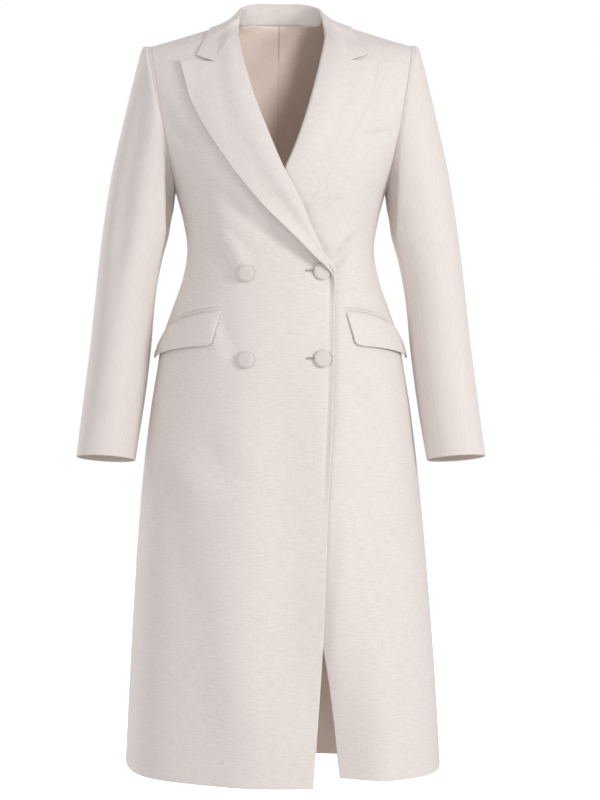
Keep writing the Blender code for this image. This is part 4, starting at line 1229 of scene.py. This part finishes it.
# The floor is a plain pale one, as far below the coat as a wearer's feet would be. Soft light comes from
# a large lamp on the right of the picture, with weaker ones on its left and behind the coat and a small
# one for the inside of the neck, and the air around is bright.
FLOOR_Z = -1450
FLOOR_RADIUS = 9000
turn = np.linspace(0, 2 * pi, 96, endpoint=False)
rim = np.stack([np.cos(turn) * FLOOR_RADIUS, np.sin(turn) * FLOOR_RADIUS, np.full_like(turn, FLOOR_Z)], -1)
floor = new_object("floor", rim, [list(range(len(turn)))])
paint = bpy.data.materials.new("white_floor")
paint.use_nodes = True
shader = paint.node_tree.nodes["Principled BSDF"]
shader.inputs["Base Color"].default_value = (0.62, 0.62, 0.62, 1)
shader.inputs["Roughness"].default_value = 0.9
shader.inputs["Emission Color"].default_value = (1, 1, 1, 1)
seen = shader_node(paint.node_tree, "ShaderNodeLightPath", "Is Camera Ray", {})
paint.node_tree.links.new(seen, shader.inputs["Emission Strength"])
floor.data.materials.append(paint)

AIR_LIGHT = 0.63  # light of the white surroundings
world = bpy.data.worlds.new("white_room")
world.use_nodes = True
tree = world.node_tree
seen = shader_node(tree, "ShaderNodeLightPath", "Is Camera Ray", {})
strength = shader_node(tree, "ShaderNodeMix", "Result", {"Factor": seen, "A": AIR_LIGHT, "B": 1})
tree.links.new(strength, tree.nodes["Background"].inputs["Strength"])
tree.nodes["Background"].inputs["Color"].default_value = (1, 1, 1, 1)
bpy.context.scene.world = world

# Places and sizes of lamps are in metres. Columns: name, place, size and watts.
LAMPS = (
    ("key_lamp", (2.6, -2.5, 0.3), 1.2, 64),
    ("fill_lamp", (-2.0, -3.2, -0.3), 2.4, 25),
    ("back_lamp", (-2.4, 2.8, 0.4), 1.4, 55),
)
COAT_MIDDLE = (0, 0, -0.6)
NECK_LAMP = (0.92, -2.02, 0.86)
NECK_LAMP_WATTS = 168
NECK_LAMP_CONE = radians(16)
NECK_LAMP_SIZE = 0.3
INSIDE_NECK = (0, 0.06, -0.06)


def hang_lamp(name, kind, place, aim, watts):
    """A lamp of a kind at a place, turned so that it shines at its aim."""
    lamp = bpy.data.lights.new(name, kind)
    lamp.energy = watts
    hung = bpy.data.objects.new(name, lamp)
    bpy.context.scene.collection.objects.link(hung)
    way = unit(np.subtract(aim, place))
    hung.location = place
    hung.rotation_euler = (np.arccos(-way[2]), 0, np.arctan2(way[0], -way[1]) + pi)
    return hung


def backs_for_lamp(lamp, state):
    """Keep a lamp's light on the two backs alone, INCLUDE, or off them, EXCLUDE."""
    group = bpy.data.collections.new("backs_of_" + lamp.name)
    for piece in back_pieces:
        group.objects.link(piece)
    for entry in group.collection_objects:
        entry.light_linking.link_state = state
    lamp.light_linking.receiver_collection = group


for name, place, size, watts in LAMPS:
    lamp = hang_lamp(name, "AREA", place, COAT_MIDDLE, watts)
    lamp.data.shape = "DISK"
    lamp.data.size = size
    if name == "fill_lamp":
        backs_for_lamp(lamp, "EXCLUDE")
lamp = hang_lamp("neck_lamp", "SPOT", NECK_LAMP, INSIDE_NECK, NECK_LAMP_WATTS)
lamp.data.spot_size = NECK_LAMP_CONE
lamp.data.spot_blend = 0.3
lamp.data.shadow_soft_size = NECK_LAMP_SIZE
backs_for_lamp(lamp, "INCLUDE")

# The camera looks at the front from waist height, a little from the right side of the coat, and from as
# far off as the picture's flat view asks. Its places are in metres.
CAMERA_TURN = radians(2.6)
CAMERA_AWAY = 3.5
CAMERA_ASIDE = 0.029
CAMERA_Z = -0.5685
camera = bpy.data.cameras.new("camera")
camera.sensor_fit = "VERTICAL"
camera.sensor_height = 36
camera.lens = 105
viewer = bpy.data.objects.new("camera", camera)
viewer.location = (CAMERA_ASIDE * np.cos(CAMERA_TURN) - CAMERA_AWAY * np.sin(CAMERA_TURN),
                   -CAMERA_ASIDE * np.sin(CAMERA_TURN) - CAMERA_AWAY * np.cos(CAMERA_TURN), CAMERA_Z)
viewer.rotation_euler = (pi / 2, 0, -CAMERA_TURN)
bpy.context.scene.collection.objects.link(viewer)
bpy.context.scene.camera = viewer
bpy.context.scene.view_settings.view_transform = "Standard"
